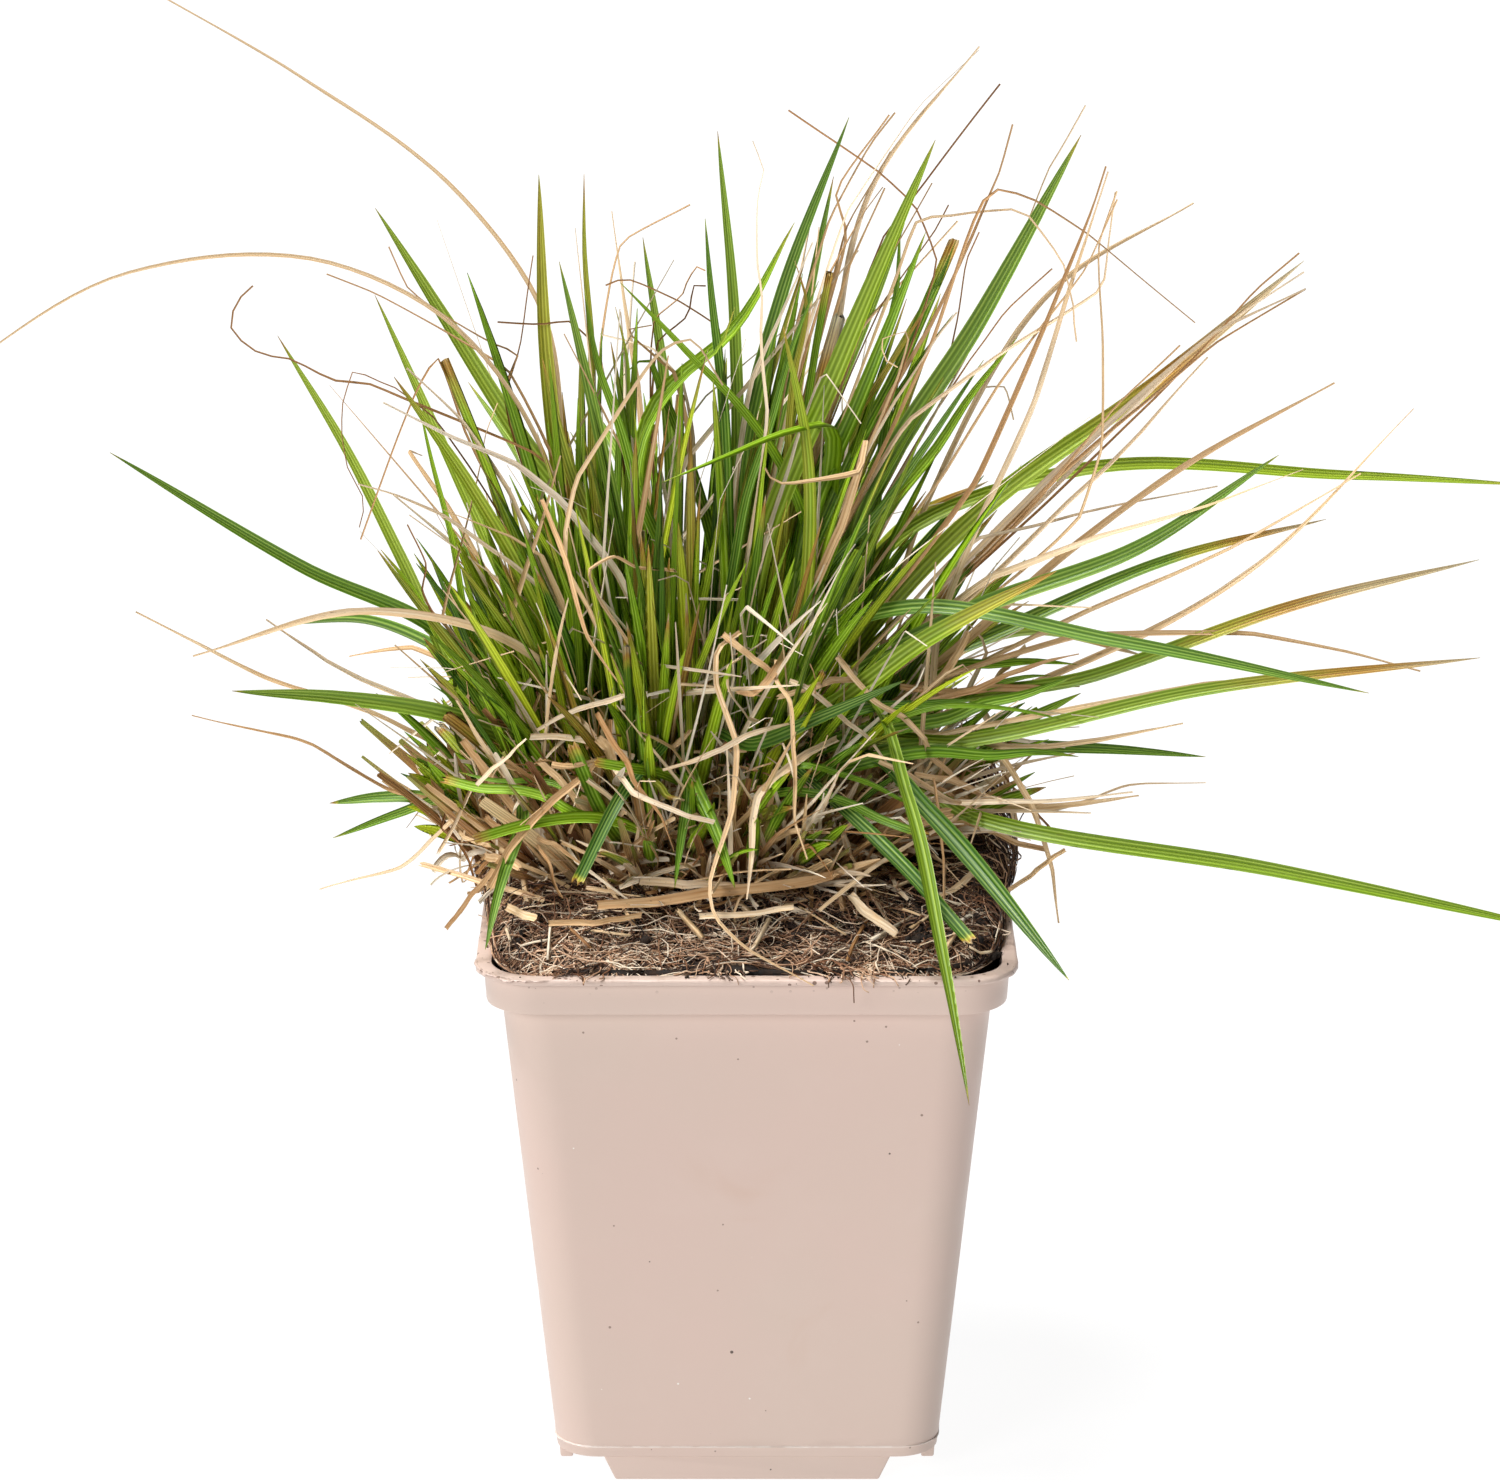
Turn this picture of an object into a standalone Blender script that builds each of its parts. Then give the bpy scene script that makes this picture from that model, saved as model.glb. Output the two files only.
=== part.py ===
"""A clump of ornamental grass in its square nursery pot.

The pot stands on its four feet at z = 0, with the pot's centre on the origin and its front
towards -Y. Lengths below are in millimetres, and object_of turns them into metres.
"""

import math
import random

import bmesh
import bpy
import numpy as np

MM = 0.001
SEED = 11
GAP = 0.3

# Pot: a square thin-walled moulding, half widths measured across the flats
POT_HEIGHT = 95.0
WALL = 1.0
FOOT_HEIGHT = 4.4
FLOOR_UNDER = 5.6
FLOOR_TOP = 6.8
SEAM_HEIGHT = 6.4
BAND_BOTTOM = 88.5
BAND_TOP = 93.8
LIP_HALF = 45.0
LIP_INNER_HALF = 42.4
BAND_HALF = 43.5
BODY_TOP_HALF = 40.75
SEAM_HALF = 32.85
SKIRT_HALF = 32.6
CORNER_STEPS = 6
FOOT_TOP_HALF_LENGTH = 24.5
FOOT_HALF_LENGTH = 22.5
FOOT_THICKNESS = 2.2
DRAIN_SIDES = 12
DRAIN_CENTRE_RADIUS = 4.5
DRAIN_CORNER_RADIUS = 4.0
DRAIN_SIDE_RADIUS = 3.0
DRAIN_OFFSET = 20.0
DRAIN_OVERCUT = 1.0

# Compost and the root felt on it
COMPOST_EDGE = 92.8
COMPOST_RISE = 3.0
MAT_BOTTOM_GAP = 0.8
MAT_TOP = 100.4
MAT_FRONT_EDGE = 96.4
MAT_SLOPE_START = -15.0
MAT_SLOPE_END = -40.0
MAT_COLUMNS = 40
MAT_SQUARENESS = 6.0
MAT_LUMP_CENTRE = (41.0, 38.0)
MAT_LUMP_HEIGHT = 13.0
MAT_LUMP_SPREAD = 7.5

# Crown: a low oval dome of tiller bases, cut in cells that a blade each grows from
CROWN_CENTRE = np.array([-10.0, 13.0, 101.0])
CROWN_RADII = np.array([37.0, 27.0, 22.0])
CROWN_COLUMNS = 20
CROWN_ROW_EDGES = (0, 16, 32, 48, 64, 80)
CROWN_FOCUS_DEPTH = 24.0
BLADE_CLEARANCE = 3.0
BLADE_STATIONS = 5
TUFT_TRIES = 60
BLADE_THICKNESS = 0.55
BLADE_WIDTHS = (2.0, 3.0)
FINE_STATIONS = 40

# Lengths of the crown's own blades, lowest row first
ROW_LENGTHS = ((26, 42), (38, 62), (52, 82), (66, 98), (78, 104))

# A leaf starts clear of the crown and leaves it straight
LEAF_START = 1.1
LEAF_STRAIGHT = 5.0
LEAF_STATIONS = 9
LONG_LEAF_STATIONS = 11
LEAF_THICKNESS_SHARE = 0.22
FOLD_LIFT = 0.12

# Ways that a leaf's face is turned
FRONT = np.array([0.0, -0.9, 0.45])
BACK = np.array([0.0, 0.9, 0.45])

GREEN = "leaf_green"
LIME = "leaf_lime"
TAN = "straw"

# Leaves that stand out of the tuft. Each has its width, its colour, the way it faces, how it
# ends, the azimuth and rise of its cell on the crown, and the points it passes after that.
LEAVES = {
    "leaf_01": (3.2, GREEN, FRONT, "point", (171, 24), [(-51, 7, 138), (-75, 0, 153), (-106, -8, 175)]),
    "leaf_02": (3.4, GREEN, FRONT, "point", (207, 40), [(-47, -4, 127), (-68, -10, 133), (-86, -16, 136)]),
    "leaf_03": (3.4, GREEN, FRONT, "point", (171, 72), [(-25, 16, 150), (-39, 19, 171), (-63, 22, 210)]),
    "leaf_04": (2.8, GREEN, FRONT, "point", (153, 24), [(-60, 28, 147), (-69, 31, 165), (-81, 34, 185)]),
    "leaf_05": (2.6, GREEN, FRONT, "point", (135, 40), [(-42, 35, 140), (-58, 44, 174), (-65, 48, 189)]),
    "leaf_06": (3.0, LIME, FRONT, "point", (189, 72), [(-31, 12, 160), (-34, 14, 186), (-35, 16, 217)]),
    "leaf_07": (2.4, GREEN, FRONT, "point", (225, 72), [(-20, 3, 148), (-25, -1, 178), (-31, -6, 207)]),
    "leaf_08": (2.4, GREEN, FRONT, "point", (99, 56), [(-13, 31, 147), (-14, 35, 174), (-18, 40, 201)]),
    "leaf_09": (2.4, GREEN, FRONT, "point", (81, 72), [(-3, 22, 149), (-2, 25, 188), (-5, 28, 222)]),
    "leaf_10": (2.8, GREEN, FRONT, "point", (9, 72), [(-1, 12, 165), (6, 11, 198), (17, 10, 228)]),
    "leaf_11": (2.6, GREEN, FRONT, "point", (63, 56), [(3, 33, 154), (9, 42, 182), (15, 48, 210)]),
    "leaf_12": (3.8, LIME, FRONT, "point", (315, 72), [(2, 4, 152), (16, 0, 190), (31, -4, 227)]),
    "leaf_13": (3.2, GREEN, FRONT, "point", (45, 72), [(9, 25, 162), (20, 30, 188), (27, 33, 205)]),
    "leaf_14": (3.8, GREEN, FRONT, "point", (351, 56), [(20, 12, 160), (40, 14, 194), (56, 15, 224)]),
    "leaf_15": (3.4, LIME, FRONT, "point", (9, 56), [(40, 18, 158), (68, 22, 178), (95, 26, 200)]),
    "leaf_16": (3.2, GREEN, FRONT, "point", (333, 56), [(36, 1, 144), (67, 0, 157), (89, -2, 173)]),
    "leaf_17": (2.6, LIME, FRONT, "point", (27, 56),
                [(25, 22, 151), (55, 28, 162), (104, 34, 160), (138, 35, 158)]),
    "leaf_18": (3.4, GREEN, FRONT, "point", (333, 72), [(24, -6, 147), (62, -18, 145), (103, -24, 138)]),
    "leaf_19": (3.8, LIME, FRONT, "point", (333, 40), [(36, -6, 124), (76, -9, 134), (123, -10, 140)]),
    "leaf_20": (3.0, LIME, FRONT, "point", (351, 40), [(60, 10, 131), (94, 12, 143), (125, 12, 151)]),
    "leaf_21": (3.0, LIME, FRONT, "point", (333, 24), [(39, -14, 113), (87, -23, 107), (138, -30, 98)]),
    "leaf_22": (2.4, GREEN, FRONT, "point", (9, 24), [(44, 20, 115), (61, 22, 114), (80, 24, 112)]),
    "leaf_23": (3.6, GREEN, FRONT, "point", (315, 40), [(21, -12, 123), (30, -26, 118), (52, -62, 101)]),
    "leaf_24": (3.2, GREEN, FRONT, "cut", (297, 40), [(13, -20, 119), (25, -38, 113), (36, -58, 106)]),
    "leaf_25": (3.0, LIME, FRONT, "point", (315, 56),
                [(19, -10, 133), (26, -34, 123), (31, -62, 106), (35, -90, 90)]),
    "leaf_26": (2.4, GREEN, FRONT, "point", (189, 8), [(-55, 9, 109), (-63, 10, 109), (-72, 10, 108)]),
    "leaf_27": (3.2, GREEN, FRONT, "cut", (261, 56), [(-14, -14, 126), (-20, -25, 122), (-28, -36, 109)]),
    "leaf_28": (2.6, GREEN, FRONT, "point", (225, 24), [(-38, -18, 113), (-41, -32, 107), (-43, -44, 100)]),
    "leaf_29": (4.4, LIME, FRONT, "cut", (297, 56), [(11, -11, 130), (30, -19, 146), (51, -24, 159)]),
    "leaf_30": (2.6, GREEN, FRONT, "point", (279, 56), [(1, -16, 127), (12, -24, 134), (26, -30, 142)]),
    "leaf_31": (2.4, GREEN, FRONT, "point", (45, 40), [(40, 31, 131), (76, 40, 144), (102, 46, 149)]),
    "leaf_32": (3.0, LIME, FRONT, "point", (207, 56), [(-34, 3, 141), (-46, 1, 166), (-59, 0, 186)]),
    "leaf_33": (3.2, GREEN, BACK, "point", (99, 24), [(-17, 52, 134), (-22, 71, 151), (-28, 90, 158)]),
    "leaf_34": (3.4, GREEN, BACK, "point", (81, 40), [(-3, 45, 136), (1, 61, 161), (6, 78, 182)]),
    "leaf_35": (3.0, LIME, BACK, "point", (63, 24), [(14, 49, 127), (28, 66, 142), (44, 84, 146)]),
    "leaf_36": (2.8, GREEN, BACK, "point", (117, 40), [(-31, 44, 138), (-40, 58, 156), (-50, 70, 168)]),
    "leaf_37": (3.2, GREEN, BACK, "point", (135, 24), [(-52, 46, 123), (-68, 57, 127), (-84, 66, 124)]),
    "leaf_38": (3.0, LIME, BACK, "point", (45, 24), [(31, 45, 121), (50, 57, 125), (72, 66, 118)]),
    "straw_01": (1.3, TAN, FRONT, "point", (153, 56),
                 [(-31, 21, 160), (-35, 23, 192), (-49, 26, 212), (-76, 30, 231), (-103, 31, 247)]),
    "straw_02": (1.2, TAN, FRONT, "point", (189, 56),
                 [(-33, 8, 166), (-52, 7, 195), (-70, 7, 204), (-103, 4, 203), (-138, -2, 183)]),
    "straw_03": (1.3, TAN, FRONT, "point", (27, 72), [(14, 19, 180), (22, 20, 216), (39, 20, 238)]),
    "straw_04": (1.5, TAN, FRONT, "point", (27, 40), [(32, 27, 158), (54, 34, 194), (77, 40, 207)]),
    "straw_05": (1.6, TAN, FRONT, "point", (351, 24), [(33, 5, 142), (49, 4, 184), (60, 4, 220)]),
    "straw_06": (1.5, TAN, FRONT, "point", (9, 40), [(38, 10, 138), (72, 8, 167), (99, 8, 183)]),
    "straw_07": (1.3, TAN, FRONT, "point", (27, 24), [(45, 25, 123), (88, 26, 146), (115, 30, 173)]),
    "straw_08": (2.0, TAN, FRONT, "point", (225, 56), [(-40, -7, 142), (-64, -9, 148), (-93, -9, 140)]),
    "straw_09": (1.4, TAN, FRONT, "point", (153, 8), [(-60, 24, 118), (-85, 25, 127), (-106, 25, 138)]),
    "straw_10": (1.4, TAN, FRONT, "point", (351, 8), [(40, 5, 109), (54, 3, 110), (67, 2, 112)]),
    "straw_11": (1.4, TAN, FRONT, "point", (207, 24), [(-48, -1, 111), (-58, -3, 102), (-73, -4, 97)]),
    "straw_12": (1.5, TAN, BACK, "point", (81, 8), [(-2, 55, 116), (1, 71, 117), (4, 88, 108)]),
    "straw_13": (1.4, TAN, BACK, "point", (99, 40), [(-16, 43, 140), (-19, 55, 168), (-24, 66, 200)]),
    "straw_14": (1.4, TAN, BACK, "point", (117, 8), [(-37, 50, 112), (-48, 64, 112), (-58, 78, 104)]),
}


def clear_scene():
    for obj in list(bpy.data.objects):
        bpy.data.objects.remove(obj)


def make_material(name, colour, roughness):
    material = bpy.data.materials.new(name)
    material.use_nodes = True
    shader = material.node_tree.nodes["Principled BSDF"]
    shader.inputs["Base Color"].default_value = (*colour, 1.0)
    shader.inputs["Roughness"].default_value = roughness
    shader.inputs["Metallic"].default_value = 0.0
    material.diffuse_color = (*colour, 1.0)
    return material


def make_materials():
    return {
        "pot": make_material("pot_plastic", (0.68, 0.53, 0.46), 0.45),
        "compost": make_material("compost", (0.024, 0.015, 0.010), 0.95),
        "roots": make_material("roots", (0.30, 0.20, 0.13), 0.9),
        "crown": make_material("crown", (0.32, 0.27, 0.10), 0.7),
        GREEN: make_material(GREEN, (0.07, 0.21, 0.03), 0.5),
        LIME: make_material(LIME, (0.22, 0.34, 0.04), 0.5),
        TAN: make_material(TAN, (0.50, 0.36, 0.22), 0.7),
    }


def object_of(bm, name, material):
    """A new object from a bmesh that is in millimetres."""
    bmesh.ops.recalc_face_normals(bm, faces=bm.faces)
    bmesh.ops.scale(bm, vec=(MM, MM, MM), verts=bm.verts)
    mesh = bpy.data.meshes.new(name)
    bm.to_mesh(mesh)
    bm.free()
    if material:
        mesh.materials.append(material)
    obj = bpy.data.objects.new(name, mesh)
    bpy.context.scene.collection.objects.link(obj)
    return obj


def shade(obj, angle):
    obj.data.shade_smooth()
    obj.data.set_sharp_from_angle(angle=math.radians(angle))


def add_ring(bm, points):
    return [bm.verts.new(tuple(point)) for point in points]


def bridge(bm, lower, upper):
    count = len(lower)
    for i in range(count):
        j = (i + 1) % count
        bm.faces.new((lower[i], lower[j], upper[j], upper[i]))


def fan(bm, ring, centre):
    tip = bm.verts.new(tuple(centre))
    for i in range(len(ring)):
        bm.faces.new((ring[i], ring[(i + 1) % len(ring)], tip))


def rounded_square(half, radius, z):
    """Points round a square with round corners, from the +X side's front end."""
    points = []
    for corner in range(4):
        middle = math.radians(90 * corner + 45)
        centre_x = math.copysign(half - radius, math.cos(middle))
        centre_y = math.copysign(half - radius, math.sin(middle))
        for step in range(CORNER_STEPS + 1):
            angle = math.radians(90 * corner + 90 * step / CORNER_STEPS)
            points.append((centre_x + radius * math.cos(angle), centre_y + radius * math.sin(angle), z))
    return points


def pot_wall_profile():
    """(half width, corner radius, z) from the floor's underside, round the skirt and over the lip."""
    return (
        (SKIRT_HALF - WALL + 0.1, 6.2, FLOOR_UNDER),
        (SKIRT_HALF - WALL, 6.2, FOOT_HEIGHT),
        (SKIRT_HALF, 7.0, FOOT_HEIGHT),
        (SEAM_HALF, 7.2, SEAM_HEIGHT),
        (BODY_TOP_HALF, 8.6, BAND_BOTTOM - 0.9),
        (BAND_HALF - 0.2, 9.0, BAND_BOTTOM),
        (BAND_HALF + 0.2, 9.2, BAND_TOP),
        (LIP_HALF, 10.0, BAND_TOP + 0.1),
        (LIP_HALF, 10.0, POT_HEIGHT - 0.3),
        (LIP_HALF - 0.3, 9.8, POT_HEIGHT),
        (LIP_INNER_HALF, 8.4, POT_HEIGHT),
        (LIP_INNER_HALF - 0.2, 8.2, BAND_BOTTOM - 0.2),
        (BODY_TOP_HALF - WALL, 7.8, BAND_BOTTOM - 1.1),
        (SEAM_HALF - WALL, 6.4, FLOOR_TOP),
    )


def make_foot(turn):
    """One low foot under the middle of a side, wider where it meets the skirt."""
    levels = ((0.0, SKIRT_HALF - 0.4, FOOT_HALF_LENGTH),
              (FLOOR_UNDER + 0.6, SKIRT_HALF - 0.15, FOOT_TOP_HALF_LENGTH + 0.8))
    bm = bmesh.new()
    rings = []
    for z, outer, half_length in levels:
        inner = outer - FOOT_THICKNESS
        rings.append(add_ring(bm, [
            (-half_length, -outer, z), (half_length, -outer, z),
            (half_length, -inner, z), (-half_length, -inner, z),
        ]))
    bridge(bm, rings[0], rings[1])
    bm.faces.new(rings[0][::-1])
    bm.faces.new(rings[1])
    foot = object_of(bm, f"foot_{turn}", None)
    foot.rotation_euler[2] = math.radians(90 * turn)
    return foot


def make_drain_cutter():
    """The upright cylinders that the floor's drain holes are cut with."""
    places = [(0.0, 0.0, DRAIN_CENTRE_RADIUS)]
    for side_x, side_y in ((1, 0), (0, 1), (-1, 0), (0, -1)):
        places.append((side_x * DRAIN_OFFSET, side_y * DRAIN_OFFSET, DRAIN_SIDE_RADIUS))
    for side_x, side_y in ((1, 1), (-1, 1), (-1, -1), (1, -1)):
        places.append((side_x * DRAIN_OFFSET, side_y * DRAIN_OFFSET, DRAIN_CORNER_RADIUS))
    bm = bmesh.new()
    for x, y, radius in places:
        rings = []
        for z in (FLOOR_UNDER - DRAIN_OVERCUT, FLOOR_TOP + DRAIN_OVERCUT):
            angles = [2 * math.pi * i / DRAIN_SIDES for i in range(DRAIN_SIDES)]
            circle = [(x + radius * math.cos(angle), y + radius * math.sin(angle), z) for angle in angles]
            rings.append(add_ring(bm, circle))
        bridge(bm, rings[0], rings[1])
        bm.faces.new(rings[0][::-1])
        bm.faces.new(rings[1])
    return object_of(bm, "drain_cutter", None)


def combine(obj, other, operation):
    other.hide_render = True
    other.display_type = "WIRE"
    modifier = obj.modifiers.new(other.name, "BOOLEAN")
    modifier.operation = operation
    modifier.object = other


def make_pot(material):
    bm = bmesh.new()
    rings = [add_ring(bm, rounded_square(half, radius, z)) for half, radius, z in pot_wall_profile()]
    for lower, upper in zip(rings, rings[1:]):
        bridge(bm, lower, upper)
    bm.faces.new(rings[0][::-1])
    bm.faces.new(rings[-1])
    pot = object_of(bm, "pot", material)
    shade(pot, 30)
    for turn in range(4):
        combine(pot, make_foot(turn), "UNION")
    combine(pot, make_drain_cutter(), "DIFFERENCE")


def compost_height(share):
    """Height of the compost at a share of the way from the middle to the edge."""
    return COMPOST_EDGE + COMPOST_RISE * (1.0 - share ** 2)


def make_compost(material):
    draw = random.Random(SEED)
    inner_top = BODY_TOP_HALF - WALL
    levels = (
        (SEAM_HALF - WALL - 0.35, 6.2, FLOOR_TOP + GAP),
        (inner_top - 0.35, 7.6, BAND_BOTTOM - 0.6),
        (LIP_INNER_HALF - 0.6, 8.0, BAND_BOTTOM + 0.2),
        (LIP_INNER_HALF - 0.5, 8.1, COMPOST_EDGE - 0.2),
        (LIP_INNER_HALF - 0.9, 7.9, COMPOST_EDGE),
    )
    bm = bmesh.new()
    rings = [add_ring(bm, rounded_square(half, radius, z)) for half, radius, z in levels]
    edge = rounded_square(LIP_INNER_HALF - 0.9, 7.9, 0.0)
    for share in (0.84, 0.66, 0.46, 0.24):
        z = compost_height(share)
        rings.append(add_ring(bm, [(share * x, share * y, z - draw.uniform(0.0, 0.9)) for x, y, _ in edge]))
    for lower, upper in zip(rings, rings[1:]):
        bridge(bm, lower, upper)
    bm.faces.new(rings[0][::-1])
    fan(bm, rings[-1], (0.0, 0.0, compost_height(0.0)))
    shade(object_of(bm, "compost", material), 50)


def mat_reach(angle):
    """How far the root felt bulges past the lip's inner edge, by direction."""
    right = max(0.0, math.cos(angle)) ** 1.5
    left = max(0.0, -math.cos(angle)) ** 1.5
    back = max(0.0, math.sin(angle)) ** 2
    front = max(0.0, -math.sin(angle)) ** 4
    return 1.2 + 4.6 * right + 3.6 * left + 1.5 * back - 1.8 * front


def mat_height(x, y):
    """Height of the root felt: flat under the crown, sloping to the front, with one high lump."""
    slope = min(1.0, max(0.0, (MAT_SLOPE_START - y) / (MAT_SLOPE_START - MAT_SLOPE_END)))
    from_lump = (x - MAT_LUMP_CENTRE[0]) ** 2 + (y - MAT_LUMP_CENTRE[1]) ** 2
    lump = MAT_LUMP_HEIGHT * math.exp(-from_lump / (2 * MAT_LUMP_SPREAD ** 2))
    return MAT_TOP + (MAT_FRONT_EDGE - MAT_TOP) * slope + lump


def mat_ring(half, bulge_share):
    """Plan points of one ring of the felt, a square with full round corners."""
    points = []
    for i in range(MAT_COLUMNS):
        angle = 2 * math.pi * i / MAT_COLUMNS
        corner = abs(math.cos(angle)) ** MAT_SQUARENESS + abs(math.sin(angle)) ** MAT_SQUARENESS
        radius = (half + bulge_share * mat_reach(angle)) / corner ** (1 / MAT_SQUARENESS)
        radius = min(radius, 1.19 * (half + bulge_share * mat_reach(angle)))
        points.append((radius * math.cos(angle), radius * math.sin(angle)))
    return points


def make_root_mat(material):
    draw = random.Random(SEED + 1)
    edge_half = LIP_INNER_HALF
    under = compost_height(0.0) + MAT_BOTTOM_GAP
    bm = bmesh.new()
    rings = []
    for half, z in ((20.0, compost_height(0.48) + MAT_BOTTOM_GAP),
                    (36.0, compost_height(0.84) + MAT_BOTTOM_GAP),
                    (edge_half - 1.2, COMPOST_EDGE + MAT_BOTTOM_GAP),
                    (edge_half - 1.1, POT_HEIGHT + GAP + 0.2)):
        rings.append(add_ring(bm, [(x, y, z) for x, y in mat_ring(half, 0.0)]))
    for share, rise in ((0.75, 0.3), (1.0, 1.2)):
        ring = mat_ring(edge_half - 0.6, share)
        rings.append(add_ring(bm, [(x, y, POT_HEIGHT + GAP + rise) for x, y in ring]))
    ring = mat_ring(edge_half - 1.2, 0.85)
    rings.append(add_ring(bm, [(x, y, mat_height(x, y) - draw.uniform(0.2, 0.9)) for x, y in ring]))
    for half in (37.0, 27.0, 14.0):
        ring = mat_ring(half, 0.0)
        rings.append(add_ring(bm, [(x, y, mat_height(x, y) - draw.uniform(0.0, 0.5)) for x, y in ring]))
    for lower, upper in zip(rings, rings[1:]):
        bridge(bm, lower, upper)
    fan(bm, rings[0][::-1], (0.0, 0.0, under))
    fan(bm, rings[-1], (0.0, 0.0, MAT_TOP))
    shade(object_of(bm, "root_mat", material), 50)


def crown_point(azimuth, rise, swell=1.0):
    """A point on the crown's dome, from angles in degrees."""
    a, b = math.radians(azimuth), math.radians(rise)
    unit = np.array([math.cos(b) * math.cos(a), math.cos(b) * math.sin(a), math.sin(b)])
    return CROWN_CENTRE + swell * CROWN_RADII * unit


def outward(point):
    """The direction in which a blade leaves the crown."""
    focus = CROWN_CENTRE - np.array([0.0, 0.0, CROWN_FOCUS_DEPTH])
    way = point - focus
    return way / np.linalg.norm(way)


def smooth_path(points, count):
    """Evenly spaced points along a smooth curve through the given points."""
    points = np.array(points, float)
    steps = np.linalg.norm(np.diff(points, axis=0), axis=1)
    knots = np.concatenate([[0.0], np.cumsum(steps)])
    slopes = np.gradient(points, knots, axis=0)
    curve = [points[0]]
    for i, step in enumerate(steps):
        for t in np.linspace(0.0, 1.0, 13)[1:]:
            h = ((1 + 2 * t) * (1 - t) ** 2, t * (1 - t) ** 2, t * t * (3 - 2 * t), t * t * (t - 1))
            curve.append(h[0] * points[i] + h[1] * step * slopes[i]
                         + h[2] * points[i + 1] + h[3] * step * slopes[i + 1])
    curve = np.array(curve)
    run = np.concatenate([[0.0], np.cumsum(np.linalg.norm(np.diff(curve, axis=0), axis=1))])
    wanted = np.linspace(0.0, run[-1], count)
    return np.column_stack([np.interp(wanted, run, curve[:, axis]) for axis in range(3)])


def side_of(path, facing):
    """The way across a blade that follows the path with its face turned to facing."""
    chord = path[-1] - path[0]
    chord = chord / np.linalg.norm(chord)
    side = np.cross(chord, facing)
    if np.linalg.norm(side) < 0.2:
        side = np.array([1.0, 0.0, 0.0])
    return side / np.linalg.norm(side)


def blade_section(path, index, side, width, thickness):
    """Four corners of a shallow V across the path: left edge, keel, right edge, fold."""
    before, after = path[max(index - 1, 0)], path[min(index + 1, len(path) - 1)]
    tangent = (after - before) / np.linalg.norm(after - before)
    across = side - np.dot(side, tangent) * tangent
    across = across / np.linalg.norm(across)
    up = np.cross(across, tangent)
    centre = path[index]
    lift = FOLD_LIFT * width
    return [
        centre - 0.5 * width * across + lift * up,
        centre - thickness * up,
        centre + 0.5 * width * across + lift * up,
        centre,
    ]


def blade_width(share, ends):
    """Share of the full width at a share of the blade's length."""
    base = 0.7 + 0.3 * min(1.0, share / 0.3)
    if ends == "cut":
        return base * (1.0 - 0.15 * share)
    return base * (1.0 - share ** 2.6) ** 0.8


def leaf_path(azimuth, rise, passes, count):
    root = crown_point(azimuth, rise)
    way = outward(root)
    start = root + LEAF_START * way
    return smooth_path([start, start + LEAF_STRAIGHT * way] + list(passes), count)


def make_leaf(name, width, material, facing, ends, cell, passes):
    count = LONG_LEAF_STATIONS if len(passes) > 3 else LEAF_STATIONS
    path = leaf_path(*cell, passes, count)
    side = side_of(path, facing)
    thickness = LEAF_THICKNESS_SHARE * width
    bm = bmesh.new()
    last = count if ends == "cut" else count - 1
    rings = []
    for i in range(last):
        full = width * blade_width(i / (count - 1), ends)
        rings.append(add_ring(bm, blade_section(path, i, side, full, thickness)))
    for lower, upper in zip(rings, rings[1:]):
        bridge(bm, lower, upper)
    bm.faces.new(rings[0][::-1])
    if ends == "cut":
        bm.faces.new(rings[-1])
    else:
        fan(bm, rings[-1], path[-1])
    shade(object_of(bm, name, material), 40)
    return path


def crown_grid(bm, draw):
    """The dome's mesh, and its cells as faces by (column, row)."""
    rows = []
    for rise in CROWN_ROW_EDGES:
        ring = []
        for column in range(CROWN_COLUMNS):
            swell = draw.uniform(0.97, 1.0) if rise else 1.0
            ring.append(crown_point(360 * column / CROWN_COLUMNS, rise, swell))
        rows.append(add_ring(bm, ring))
    cells = {}
    for row, (lower, upper) in enumerate(zip(rows, rows[1:])):
        for column in range(CROWN_COLUMNS):
            after = (column + 1) % CROWN_COLUMNS
            cells[column, row] = bm.faces.new((lower[column], lower[after], upper[after], upper[column]))
    fan(bm, rows[-1], crown_point(0, 90, 0.98))
    bm.faces.new(rows[0][::-1])
    return cells


def cell_of(azimuth, rise):
    row = max(i for i, edge in enumerate(CROWN_ROW_EDGES[:-1]) if edge <= rise)
    return int(azimuth * CROWN_COLUMNS / 360), row


def tuft_path(draw, cell, stations):
    """A seeded path for one of the crown's own blades."""
    column, row = cell
    azimuth = 360 * (column + 0.5) / CROWN_COLUMNS
    rise = 0.5 * (CROWN_ROW_EDGES[row] + CROWN_ROW_EDGES[row + 1])
    root = crown_point(azimuth, rise)
    way = outward(root)
    length = draw.uniform(*ROW_LENGTHS[row])
    turn = np.array([draw.uniform(-0.22, 0.22), draw.uniform(-0.22, 0.22), draw.uniform(-0.05, 0.1)])
    level = np.array([way[0], way[1], 0.0])
    bend = draw.uniform(0.1, 0.45) * level - np.array([0.0, 0.0, draw.uniform(0.05, 0.25)])
    lean = way + turn
    lean = lean / np.linalg.norm(lean)
    middle = root + 0.5 * length * lean
    tip = root + length * (lean + 0.6 * bend)
    return smooth_path([root + 4.0 * way, middle, tip], stations)


def nearest_gap(path, others):
    """Least distance between two sets of stations, filled in between them."""
    fine = smooth_path(path, FINE_STATIONS)
    gaps = [np.linalg.norm(fine[:, None] - other[None], axis=2).min() for other in others]
    return min(gaps)


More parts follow.
